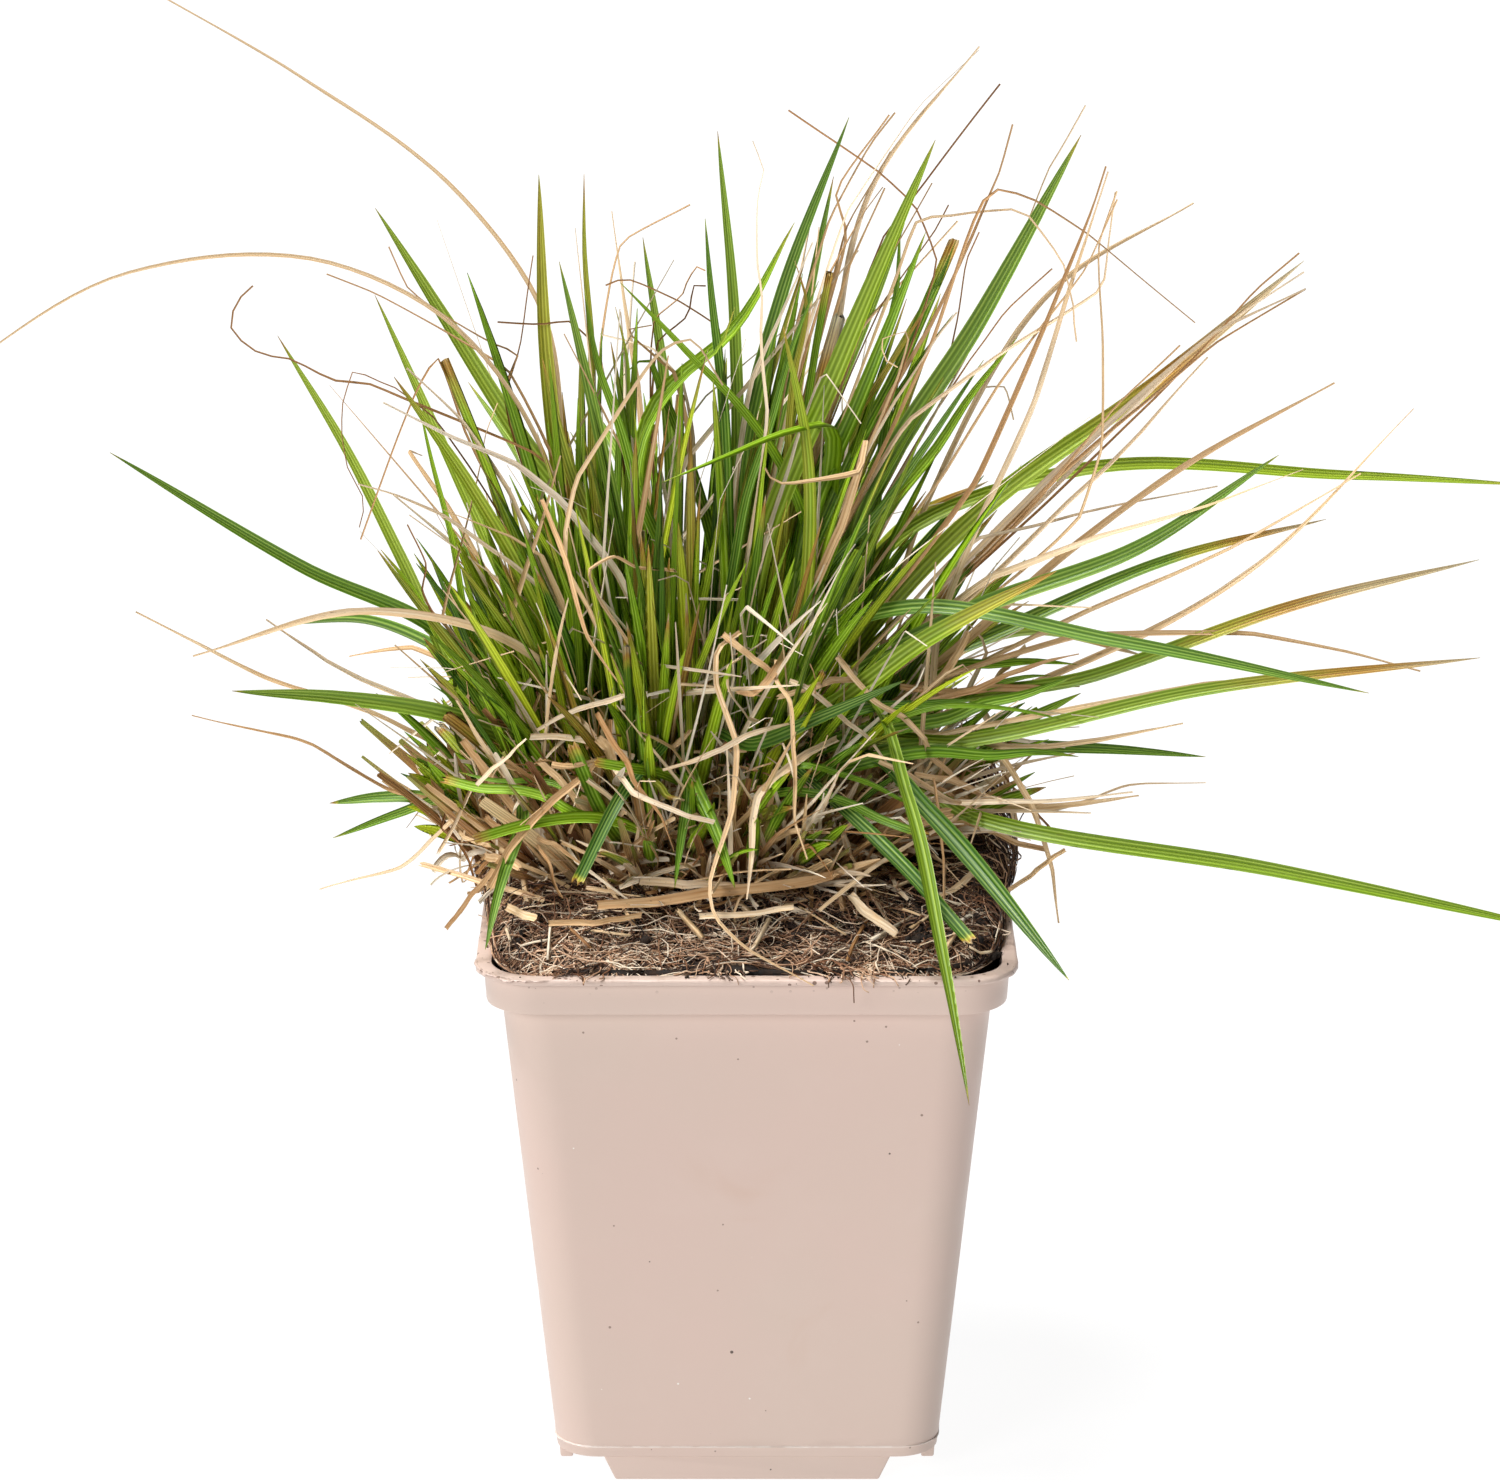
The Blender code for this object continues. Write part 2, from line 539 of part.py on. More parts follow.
def grow_blade(bm, face, path, width):
    """Extrudes a cell of the dome into a sheath and a blade that follows the path."""
    facing = FRONT if path[-1][1] < CROWN_CENTRE[1] + 20 else BACK
    side = side_of(path, facing)
    for i in range(len(path)):
        grown = bmesh.ops.extrude_discrete_faces(bm, faces=[face])
        face = grown["faces"][0]
        share = i / (len(path) - 1)
        full = max(0.3, width * blade_width(min(share, 0.97), "point"))
        section = blade_section(path, i, side, full, BLADE_THICKNESS * (1.0 - 0.5 * share))
        normal = np.cross(section[1] - section[0], section[2] - section[0])
        if np.dot(normal, path[-1] - path[0]) < 0:
            section = section[::-1]
        corners = [np.array(vert.co) for vert in face.verts]
        turned = [section[k:] + section[:k] for k in range(4)]
        spreads = [sum(np.linalg.norm(a - b) for a, b in zip(corners, points)) for points in turned]
        for vert, point in zip(face.verts, turned[spreads.index(min(spreads))]):
            vert.co = tuple(point)


def make_crown(material, leaf_paths):
    """The tussock: the dome of tiller bases, with a blade on every cell that no leaf stands on."""
    draw = random.Random(SEED + 2)
    bm = bmesh.new()
    cells = crown_grid(bm, draw)
    taken = {cell_of(*leaf[4]) for leaf in LEAVES.values()}
    others = [smooth_path(path, FINE_STATIONS) for path in leaf_paths]
    for cell, face in cells.items():
        if cell in taken:
            continue
        for _ in range(TUFT_TRIES):
            path = tuft_path(draw, cell, BLADE_STATIONS)
            if nearest_gap(path, others) > BLADE_CLEARANCE:
                grow_blade(bm, face, path, draw.uniform(*BLADE_WIDTHS))
                others.append(smooth_path(path, FINE_STATIONS))
                break
    shade(object_of(bm, "crown", material), 40)


def main():
    clear_scene()
    materials = make_materials()
    make_pot(materials["pot"])
    make_compost(materials["compost"])
    make_root_mat(materials["roots"])
    paths = []
    for name, (width, colour, facing, ends, cell, passes) in LEAVES.items():
        paths.append(make_leaf(name, width, materials[colour], facing, ends, cell, passes))
    make_crown(materials["crown"], paths)


main()
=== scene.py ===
"""The look of a clump of ornamental grass in its square nursery pot.

Lengths are in millimetres unless a name says otherwise, and build_mesh turns them into metres. Those
in the materials are in metres, as the finished meshes are.
"""

import itertools
import math

import bpy
import numpy as np
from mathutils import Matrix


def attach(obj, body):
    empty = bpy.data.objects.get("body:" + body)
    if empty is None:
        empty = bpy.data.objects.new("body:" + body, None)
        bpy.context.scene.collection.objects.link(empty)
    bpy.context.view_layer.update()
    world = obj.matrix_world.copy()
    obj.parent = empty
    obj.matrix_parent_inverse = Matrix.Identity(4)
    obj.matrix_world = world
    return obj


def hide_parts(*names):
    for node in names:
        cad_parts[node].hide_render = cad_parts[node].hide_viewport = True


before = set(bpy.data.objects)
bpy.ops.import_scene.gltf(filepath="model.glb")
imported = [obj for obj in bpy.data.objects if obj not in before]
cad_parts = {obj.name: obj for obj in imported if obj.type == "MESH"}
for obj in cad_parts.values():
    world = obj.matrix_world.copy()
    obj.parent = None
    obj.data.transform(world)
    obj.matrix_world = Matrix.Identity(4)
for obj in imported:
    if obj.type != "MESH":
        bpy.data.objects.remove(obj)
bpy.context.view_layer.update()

MM = 0.001
TURN = 2 * math.pi
GOLDEN_RATIO = 1.618
SEED = 7

# Camera, in millimetres and degrees
CAMERA_PLACE = (0.5, -981.8, 425.1)
CAMERA_PITCH = 17.14
CAMERA_LENS = 144.9
CAMERA_SENSOR = 36.0
NEAREST_METRES = 0.05

# The floor, the surround, and the lights: name, way towards it, strength and spread in degrees
FLOOR_HALF_METRES = 6.0
FLOOR_GLOW = 0.94
SURROUND_STRENGTH = 0.06
LIGHTS = (("key", (-0.6, -0.75, 0.42), 1.70, 22.0), ("top", (-0.30, 0.0, 1.0), 3.8, 24.0))

# Ways to face, and a factor that lays a way level
FRONT = np.array([0.0, -0.9, 0.45])
BACK = np.array([0.0, 0.9, 0.45])
UP = np.array([0.0, 0.0, 1.0])
LEVEL = np.array([1.0, 1.0, 0.0])

# The pot's rings of half width, corner radius and height: round its foot and its parting line, up
# the wall, and over the band and the lip down to the floor inside
FOOT_RINGS = [
    (31.7, 6.2, 5.6), (31.6, 6.2, 4.6), (31.75, 6.3, 4.42), (32.4, 6.9, 4.4), (32.6, 7.0, 4.55),
    (32.72, 7.1, 5.5), (32.82, 7.15, 6.2), (32.98, 7.2, 6.34), (32.99, 7.2, 6.46), (32.86, 7.2, 6.6),
]
WALL_FOOT = np.array([32.87, 7.2, 6.7])
WALL_NECK = np.array([40.75, 8.6, 87.4])
WALL_RINGS = 22
LIP_RINGS = [
    (40.85, 8.6, 87.45), (41.6, 8.7, 87.75), (42.9, 8.9, 88.2), (43.22, 9.0, 88.38), (43.3, 9.0, 88.7),
    (43.45, 9.1, 91.0), (43.6, 9.15, 93.3), (43.7, 9.2, 93.72), (44.2, 9.5, 93.86), (44.8, 9.9, 93.92),
    (45.0, 10.0, 94.08), (45.03, 10.0, 94.4), (44.98, 10.0, 94.72), (44.8, 9.9, 94.92), (44.45, 9.7, 95.0),
    (43.3, 8.9, 95.0), (42.65, 8.5, 94.96), (42.42, 8.4, 94.8), (42.38, 8.4, 94.2), (42.2, 8.2, 88.4),
    (39.8, 7.8, 87.4), (31.85, 6.4, 7.0), (31.7, 6.3, 6.8),
]
SEAM_HEIGHT = 6.4
POT_HEIGHT = 95.0
LIP_INNER_HALF = 42.4
LIP_CORNER = np.array([-35.0, -35.0])
LIP_CORNER_RADIUS = 10.0

# How far the wall waves out and in, the height from which it does so in full, how rough the parting
# line and the lip's edge are, and the height and half width past which that edge lies
WALL_WAVE = 0.12
WALL_WAVE_HEIGHT = 80.0
SEAM_ROUGHNESS = 0.07
LIP_ROUGHNESS = 0.06
LIP_EDGE_HEIGHT = 94.0
LIP_EDGE_HALF = 44.0

# Directions of the flash on the lip in degrees, and the heights of its faces
FLASH_DEGREES = (176, 288)
FLASH_TOP = 94.95
FLASH_UNDER = 94.85
FLASH_ROOT = 94.6

# Height, outer face and half length of a foot, below and above
FOOT_LEVELS = ((0.0, 32.2, 22.5), (6.2, 32.45, 25.3))
FOOT_THICKNESS = 2.2
FOOT_ROUNDING = 0.35

# Place and radius of each drain hole
DRAIN_HOLES = (
    (0.0, 0.0, 4.5), (20.0, 0.0, 3.0), (0.0, 20.0, 3.0), (-20.0, 0.0, 3.0), (0.0, -20.0, 3.0),
    (20.0, 20.0, 4.0), (-20.0, 20.0, 4.0), (-20.0, -20.0, 4.0), (20.0, -20.0, 4.0),
)
HOLE_LEVELS = (4.0, 8.6)

# Compost and root mat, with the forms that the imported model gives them
SQUARE_POWER = 6
COMPOST_HALF = 41.5
COMPOST_EDGE = 92.8
COMPOST_RISE = 3.0
MAT_TOP = 100.4
MAT_FRONT_EDGE = 96.4
MAT_SLOPE_START = -15.0
MAT_SLOPE_END = -40.0
MAT_LUMP_CENTRE = (41.0, 38.0)
MAT_LUMP_HEIGHT = 13.0
MAT_LUMP_SPREAD = 7.5

# How far the felt bulges past the lip's inner edge: all round, and more or less towards some
# directions, with how narrow each bulge is
MAT_BULGE = 0.9
MAT_BULGES = ((3.4, 24, 10), (3.8, 160, 10), (1.2, 90, 2), (-0.5, 270, 2))

# Depth, direction and width of its dents in front and at the front corner
MAT_DENTS = ((3.0, math.radians(268), 0.05), (1.1, math.radians(315), 0.02))

# Where the felt's stretch before the front rim starts, and its length
FRONT_START = 24.0
FRONT_LENGTH = 14.0

# The arch of felt over the dark hollow behind the front rim
HOLLOW_RISE = 3.4
HOLLOW_MIDDLE = -1.5
HOLLOW_WIDTH = 9.0
HOLLOW_START = 31.0
HOLLOW_LENGTH = 5.0

# Half width and height of the rings below the skin of each
COMPOST_LOWER = ((41.8, 88.8), (39.4, 87.8), (31.5, 7.1))
FELT_LOWER = ((41.0, 95.4), (41.0, 93.8), (20.0, 96.3))

# Fibres: a heap of them at the right, few across the gap behind the front rim, and loose ends, with
# the directions of those on each side, and of those that hang over the lip, in radians
ROOT_HEAP = (36.0, 24.0)
ROOT_HEAP_HEIGHT = 4.5
ROOT_HEAP_SPREAD = 9.0
GAP_LEFT = -13.0
GAP_RIGHT = 10.0
GAP_BACK = -38.0
SHARE_ACROSS_GAP = 0.06
LOOSE_ENDS = 230
ENDS_OVER_LIP = 90
LOOSE_END_SIDES = ((-0.9, 0.9), (2.3, 3.9), (4.0, 5.4), (1.2, 1.9))
LOOSE_END_REACH = np.array([47.9, 46.5])
OVER_LIP_ANGLES = (4.60, 5.05, 5.12, 4.1)

# The crown, and how blades leave it
CROWN_CENTRE = np.array([-10.0, 13.0, 101.0])
CROWN_RADII = np.array([37.0, 27.0, 22.0])
CROWN_FOCUS_DEPTH = 24.0
LEAF_START = 1.1
LEAF_STRAIGHT = 5.0

# Half widths of the ovals that small things stand on round the crown's middle, and how deep they start
TILLER_OVAL = np.array([34.0, 25.0, 0.0])
TILLER_DEPTH = 3.5
SHEATH_OVAL = np.array([35.0, 26.0, 0.0])
SHEATH_DEPTH = 4.0
THATCH_OVAL = np.array([37.0, 29.0, 0.0])
THATCH_LOW = 100.5
THATCH_RISE = 27.0

# How many of each small thing the tuft has
TILLERS = 160
OUTER_SHEATHS = 170
GREEN_BLADES = 560
DRY_BLADES = 760
THATCH_STRAWS = 960
STRAW_CHIPS = 60

# The tuft's oval outline, and the box that its own blades stay inside
TUFT_CENTRE = np.array([-4.0, 9.0, 100.0])
TUFT_RADII = np.array([55.0, 47.0, 110.0])
TUFT_LOW = np.array([-86.0, -52.0, 95.0])
TUFT_HIGH = np.array([60.0, 62.0, 211.0])

# Loose straws crowd inside these reaches of their middle
THATCH_MIDDLE = np.array([-8.0, 6.0, 118.0])
THATCH_REACH = np.array([58.0, 52.0, 60.0])

# A straw whose ends are nearer than this is a torn off piece, and one narrower than this is a dark wisp
SHORT_STRAW = 24.0
THIN_STRAW = 0.6

# Edges that turn by more than these degrees stay sharp
POT_SHARP = 40
LEAF_SHARP = 70

# Blades that stand out of the tuft, from leaf_01 on: width, the azimuth and rise of its root on the
# crown, and the points it passes after that
LEAVES = (
    (2.5, (171, 24), (-51, 7, 138), (-75, 0, 153), (-106, -8, 175)),
    (2.9, (207, 40), (-47, -4, 127), (-68, -10, 133), (-86, -16, 136)),
    (3.4, (171, 72), (-25, 16, 150), (-39, 19, 171), (-63, 22, 210)),
    (2.2, (153, 24), (-60, 28, 147), (-69, 31, 165), (-81, 34, 185)),
    (2.2, (135, 40), (-42, 35, 140), (-58, 44, 174), (-65, 48, 189)),
    (3.0, (189, 72), (-31, 12, 160), (-34, 14, 186), (-35, 16, 217)),
    (2.4, (225, 72), (-20, 3, 148), (-25, -1, 178), (-31, -6, 207)),
    (2.4, (99, 56), (-13, 31, 147), (-14, 35, 174), (-18, 40, 201)),
    (2.4, (81, 72), (-3, 22, 149), (-2, 25, 188), (-5, 28, 222)),
    (2.8, (9, 72), (-1, 12, 165), (6, 11, 198), (17, 10, 228)),
    (2.6, (63, 56), (3, 33, 154), (9, 42, 182), (15, 48, 210)),
    (3.8, (315, 72), (2, 4, 152), (16, 0, 190), (31, -4, 227)),
    (3.2, (45, 72), (9, 25, 162), (20, 30, 188), (27, 33, 205)),
    (3.8, (351, 56), (20, 12, 160), (40, 14, 194), (56, 15, 224)),
    (3.4, (9, 56), (40, 18, 158), (68, 22, 178), (95, 26, 200)),
    (3.2, (333, 56), (36, 1, 144), (67, 0, 157), (89, -2, 173)),
    (2.6, (27, 56), (25, 22, 151), (55, 28, 162), (104, 34, 160), (138, 35, 158)),
    (2.8, (333, 72), (24, -6, 147), (62, -18, 145), (103, -24, 138)),
    (2.4, (333, 40), (36, -6, 124), (76, -9, 134), (123, -10, 140)),
    (2.5, (351, 40), (60, 10, 131), (94, 12, 143), (125, 12, 151)),
    (2.7, (333, 24), (39, -14, 113), (87, -23, 107), (138, -30, 98)),
    (2.4, (9, 24), (44, 20, 115), (61, 22, 114), (80, 24, 112)),
    (3.6, (315, 40), (21, -12, 123), (30, -26, 118), (52, -62, 101)),
    (2.9, (297, 40), (13, -20, 119), (25, -38, 113), (36, -58, 106)),
    (3.4, (315, 56), (19, -10, 133), (26, -34, 123), (31, -62, 106), (35, -90, 90)),
    (2.4, (189, 8), (-55, 9, 109), (-63, 10, 109), (-72, 10, 108)),
    (2.4, (261, 56), (-14, -14, 126), (-20, -25, 122), (-28, -36, 109)),
    (2.2, (225, 24), (-38, -18, 113), (-41, -32, 107), (-43, -44, 100)),
    (3.5, (297, 56), (11, -11, 130), (30, -19, 146), (51, -24, 159)),
    (2.6, (279, 56), (1, -16, 127), (12, -24, 134), (26, -30, 142)),
    (2.4, (45, 40), (40, 31, 131), (76, 40, 144), (102, 46, 149)),
    (2.7, (207, 56), (-34, 3, 141), (-46, 1, 166), (-59, 0, 186)),
    (3.2, (99, 24), (-17, 52, 134), (-22, 71, 151), (-28, 90, 158)),
    (3.4, (81, 40), (-3, 45, 136), (1, 61, 161), (6, 78, 182)),
    (3.0, (63, 24), (14, 49, 127), (28, 66, 142), (44, 84, 146)),
    (2.8, (117, 40), (-31, 44, 138), (-40, 58, 156), (-50, 70, 168)),
    (3.2, (135, 24), (-52, 46, 123), (-68, 57, 127), (-84, 66, 124)),
    (3.0, (45, 24), (31, 45, 121), (50, 57, 125), (72, 66, 118)),
)
FIRST_BACK_LEAF = 33
CUT_LEAVES = {24, 27}
LATE_LEAVES = {23, 24, 25, 27}
LIME_LEAVES = {6, 12, 15, 17, 19, 20, 21, 25, 29, 32, 35, 38}

# How much lighter or darker than the others a leaf's green is
LEAF_TONES = {
    1: 0.2, 2: 0.15, 3: 0.32, 4: 0.4, 5: 0.45, 19: -0.45, 20: -0.25, 21: -0.3, 23: -0.45, 24: -0.45,
    25: -0.25, 27: -0.3, 28: -0.2, 30: -0.2,
}

# Yellowing all over, the share of the length where the tip starts to die, and how far it has gone
LEAF_AGE = {
    6: (0.22, 0.55, 0.45), 12: (0.1, 0.97, 0.5), 15: (0.1, 0.6, 1.0), 16: (0.02, 0.96, 0.4),
    17: (0.1, 0.93, 0.5), 19: (0.12, 0.62, 0.85), 20: (0.16, 0.55, 1.0), 21: (0.08, 0.9, 0.6),
    24: (0.0, 0.975, 0.75), 25: (0.06, 0.96, 0.6), 27: (0.0, 0.97, 0.55), 29: (0.14, 0.7, 0.6),
    31: (0.06, 0.72, 0.9), 32: (0.18, 0.9, 0.6), 35: (0.12, 0.7, 0.8), 38: (0.16, 0.8, 0.9),
}

# Dry straws from straw_01 on: width, root on the crown, and the points it passes after that
STRAWS = (
    (0.9, (153, 56), (-31, 21, 160), (-35, 23, 192), (-49, 26, 212), (-76, 30, 231), (-103, 31, 247)),
    (0.8, (189, 56), (-33, 8, 166), (-52, 7, 195), (-70, 7, 204), (-103, 4, 203), (-138, -2, 183)),
    (1.3, (27, 72), (14, 19, 180), (22, 20, 216), (39, 20, 238)),
    (1.5, (27, 40), (32, 27, 158), (54, 34, 194), (77, 40, 207)),
    (1.2, (351, 24), (33, 5, 142), (49, 4, 184), (60, 4, 220)),
    (1.5, (9, 40), (38, 10, 138), (72, 8, 167), (99, 8, 183)),
    (1.3, (27, 24), (45, 25, 123), (88, 26, 146), (115, 30, 173)),
    (1.5, (225, 56), (-40, -7, 142), (-64, -9, 148), (-93, -9, 140)),
    (0.9, (153, 8), (-60, 24, 118), (-85, 25, 127), (-106, 25, 138)),
    (1.4, (351, 8), (40, 5, 109), (54, 3, 110), (67, 2, 112)),
    (0.8, (207, 24), (-48, -1, 111), (-58, -3, 102), (-73, -4, 97)),
    (1.5, (81, 8), (-2, 55, 116), (1, 71, 117), (4, 88, 108)),
    (1.4, (99, 40), (-16, 43, 140), (-19, 55, 168), (-24, 66, 200)),
    (1.4, (117, 8), (-37, 50, 112), (-48, 64, 112), (-58, 78, 104)),
)

# The finer straws of each side, which reach no further: width and points
LEFT_STRAWS = (
    (0.5, (-35, 8, 170), (-49, 6, 177), (-57, 4, 181), (-63, 3, 184), (-69, 2, 185), (-76, 1, 189),
     (-81, 0, 190), (-84, 0, 192), (-86, -1, 195), (-85, -1, 199), (-82, -2, 202)),
    (0.5, (-41, 12, 182), (-39, 12, 187), (-43, 11, 189), (-54, 11, 196), (-57, 10, 199),
     (-60, 10, 206)),
    (0.5, (-41, 14, 179), (-39, 13, 187), (-38, 13, 192), (-36, 12, 204)),
    (0.6, (-40, 10, 185), (-53, 13, 192), (-63, 15, 197), (-71, 16, 200)),
    (0.5, (-27, 16, 189), (-30, 15, 192), (-35, 13, 192), (-42, 10, 193)),
    (0.5, (-53, 4, 178), (-60, 3, 184), (-63, 3, 185), (-66, 2, 187), (-68, 1, 181), (-68, 0, 176),
     (-67, -2, 171), (-64, -3, 165), (-65, -4, 161)),
    (0.5, (-48, 18, 172), (-53, 18, 185), (-56, 17, 180), (-60, 16, 170), (-66, 14, 154)),
    (0.9, (-35, 6, 151), (-40, 5, 165), (-48, 3, 178), (-57, 2, 187)),
    (1.0, (-30, 2, 143), (-40, -1, 154), (-51, -3, 163), (-59, -5, 167), (-65, -6, 169)),
    (0.5, (-50, 4, 138), (-55, 3, 148), (-54, 1, 153), (-57, -2, 161)),
    (0.6, (-52, 0, 144), (-48, 2, 158), (-45, 4, 170), (-44, 5, 175), (-42, 6, 180)),
    (1.0, (-40, -4, 144), (-37, -6, 153), (-31, -10, 175)),
    (1.3, (-16, -8, 140), (-22, -8, 155), (-31, -10, 168), (-38, -11, 174), (-49, -13, 179),
     (-60, -14, 185)),
    (1.0, (-30, 0, 118), (-50, 0, 126), (-71, -2, 137), (-81, -4, 145)),
    (0.9, (-34, 14, 130), (-48, 12, 152), (-60, 10, 163)),
    (0.8, (-44, 6, 108), (-60, 4, 112), (-74, 0, 121), (-94, -4, 128)),
)
TOP_STRAWS = (
    (0.8, (10, 12, 190), (17, 14, 211), (24, 17, 221), (29, 19, 228), (39, 22, 237)),
    (0.4, (23, 14, 207), (30, 12, 217), (42, 8, 234)),
    (0.6, (14, 20, 209), (21, 23, 221), (25, 24, 226)),
    (0.4, (30, 8, 196), (32, 10, 203), (28, 14, 212), (22, 18, 217), (7, 26, 226)),
    (0.9, (24, 10, 180), (31, 8, 193), (40, 6, 215), (42, 5, 220), (44, 4, 228)),
    (0.7, (31, 6, 190), (41, 5, 217), (47, 8, 215), (57, 11, 208), (67, 15, 199), (76, 18, 191)),
    (0.6, (25, 12, 200), (29, 11, 211), (32, 10, 211), (37, 9, 212), (46, 7, 213), (51, 5, 207),
     (53, 3, 204), (54, 2, 199), (55, 1, 196), (54, 0, 193), (55, 0, 192)),
    (0.6, (38, 14, 187), (46, 17, 205), (51, 18, 218), (53, 19, 221), (57, 20, 228)),
    (1.1, (39, 6, 166), (50, 0, 195), (57, -5, 216), (59, -6, 223)),
    (0.9, (27, 8, 176), (42, 11, 187), (52, 12, 193), (60, 14, 198), (61, 15, 206), (62, 16, 214)),
    (0.6, (50, 12, 192), (57, 11, 202), (62, 10, 214)),
    (0.6, (56, 6, 160), (60, 7, 172), (60, 9, 190), (59, 11, 206), (62, 12, 215)),
    (0.5, (38, 20, 184), (44, 22, 192), (52, 24, 199)),
    (0.5, (35, 16, 187), (36, 15, 192), (37, 13, 203), (39, 12, 208)),
    (0.7, (19, 20, 189), (28, 25, 198), (36, 30, 206)),
    (0.6, (24, 18, 202), (27, 16, 208), (31, 14, 216)),
    (0.4, (23, 22, 194), (32, 20, 207), (34, 20, 211)),
    (0.7, (25, 4, 181), (32, 1, 193), (35, 0, 197)),
    (1.0, (14, 16, 200), (20, 19, 210), (23, 20, 214)),
    (0.8, (4, -4, 181), (3, 0, 194), (3, 1, 200), (2, 3, 205), (2, 7, 216), (3, 8, 219), (1, 10, 224)),
    (0.5, (-16, 20, 191), (-11, 17, 196), (-10, 16, 199), (-8, 14, 202), (-7, 14, 201)),
    (0.5, (-15, 18, 188), (-10, 19, 192), (-9, 20, 197), (-7, 20, 197)),
    (0.4, (-5, 24, 189), (-12, 22, 194), (-21, 21, 198), (-24, 20, 197)),
    (0.7, (-11, 14, 182), (-16, 16, 187), (-25, 18, 189)),
    (1.3, (-12, 12, 184), (-20, 9, 192), (-16, 8, 193)),
    (1.0, (1, 8, 184), (6, 6, 196), (11, 4, 208)),
    (0.8, (14, 18, 194), (17, 19, 206), (15, 20, 213), (24, 22, 226)),
    (0.8, (14, 22, 195), (17, 19, 208), (24, 16, 221)),
    (0.9, (13, 14, 186), (17, 12, 202), (23, 10, 216)),
    (1.6, (16, -8, 162), (20, -12, 178), (19, -17, 174), (9, -20, 173), (6, -21, 173), (4, -21, 174),
     (3, -22, 176)),
    (0.9, (-26, -13, 150), (-30, -16, 158), (-30, -15, 163), (-28, -14, 172), (-25, -14, 177),
     (-16, -12, 191), (-13, -11, 194), (-9, -11, 195), (-4, -10, 187)),
    (0.9, (8, -3, 176), (13, -4, 188), (16, -6, 184), (19, -8, 180)),
    (0.6, (25, 0, 186), (27, 0, 194), (22, -3, 193), (23, -5, 190), (25, -6, 189)),
)
RIGHT_STRAWS = (
    (0.5, (70, 20, 178), (80, 20, 189), (86, 17, 197), (93, 14, 204)),
    (0.8, (60, 18, 170), (76, 22, 185), (87, 24, 193), (95, 26, 198)),
    (0.7, (42, 14, 153), (52, 16, 164), (68, 18, 177), (80, 20, 187), (95, 22, 196)),
    (1.0, (43, 6, 151), (61, 10, 168), (78, 14, 186)),
    (0.7, (52, 14, 164), (64, 13, 179), (73, 10, 189)),
    (1.3, (41, 4, 150), (58, 1, 157), (79, -2, 165), (93, -4, 171)),
    (0.7, (40, 8, 156), (57, 10, 160), (80, 12, 164)),
    (1.0, (30, 8, 130), (56, 10, 138), (86, 12, 138), (104, 14, 134), (116, 16, 130)),
    (1.2, (26, 12, 138), (50, 14, 164), (80, 18, 190), (95, 22, 196)),
    (1.1, (30, 6, 112), (43, 0, 119), (48, -4, 113), (52, -8, 102), (53, -10, 93)),
    (1.0, (26, -8, 115), (36, -14, 116), (49, -14, 116), (65, -12, 117)),
    (0.9, (34, 16, 128), (60, 20, 140), (84, 24, 150), (106, 28, 162)),
    (1.1, (30, 2, 122), (52, -2, 128), (78, -4, 134), (100, -6, 136)),
    (0.8, (38, 16, 108), (52, 18, 104), (66, 20, 108), (80, 22, 108)),
    (1.3, (24, 4, 124), (44, 0, 121), (60, -2, 123), (74, -2, 126)),
)
BACK_STRAWS = (
    (1.0, (-12, 36, 120), (-20, 52, 146), (-22, 62, 172), (-20, 70, 190)),
    (0.9, (4, 38, 112), (16, 54, 124), (24, 70, 128), (30, 82, 120)),
    (1.2, (-28, 36, 110), (-44, 48, 118), (-60, 58, 122), (-72, 66, 118)),
    (0.8, (-4, 34, 130), (0, 48, 158), (8, 58, 184), (12, 62, 204)),
    (0.7, (10, 34, 126), (26, 46, 150), (40, 56, 170), (46, 66, 168), (48, 74, 160)),
    (1.1, (-34, 30, 124), (-50, 40, 148), (-60, 52, 160), (-58, 64, 156)),
    (0.6, (-18, 40, 150), (-26, 50, 178), (-22, 58, 196), (-10, 62, 202)),
    (1.4, (14, 40, 108), (26, 56, 112), (34, 70, 106)),
    (0.9, (-2, 44, 112), (-6, 62, 120), (-12, 80, 118)),
)

# Straws of one side are one piece: the numbers of its main ones, and its finer ones
STRAW_SIDES = {
    "straws_left": ((1, 2, 8, 9, 11), LEFT_STRAWS),
    "straws_top": ((3, 4, 5), TOP_STRAWS),
    "straws_right": ((6, 7, 10), RIGHT_STRAWS),
    "straws_back": ((12, 13, 14), BACK_STRAWS),
}

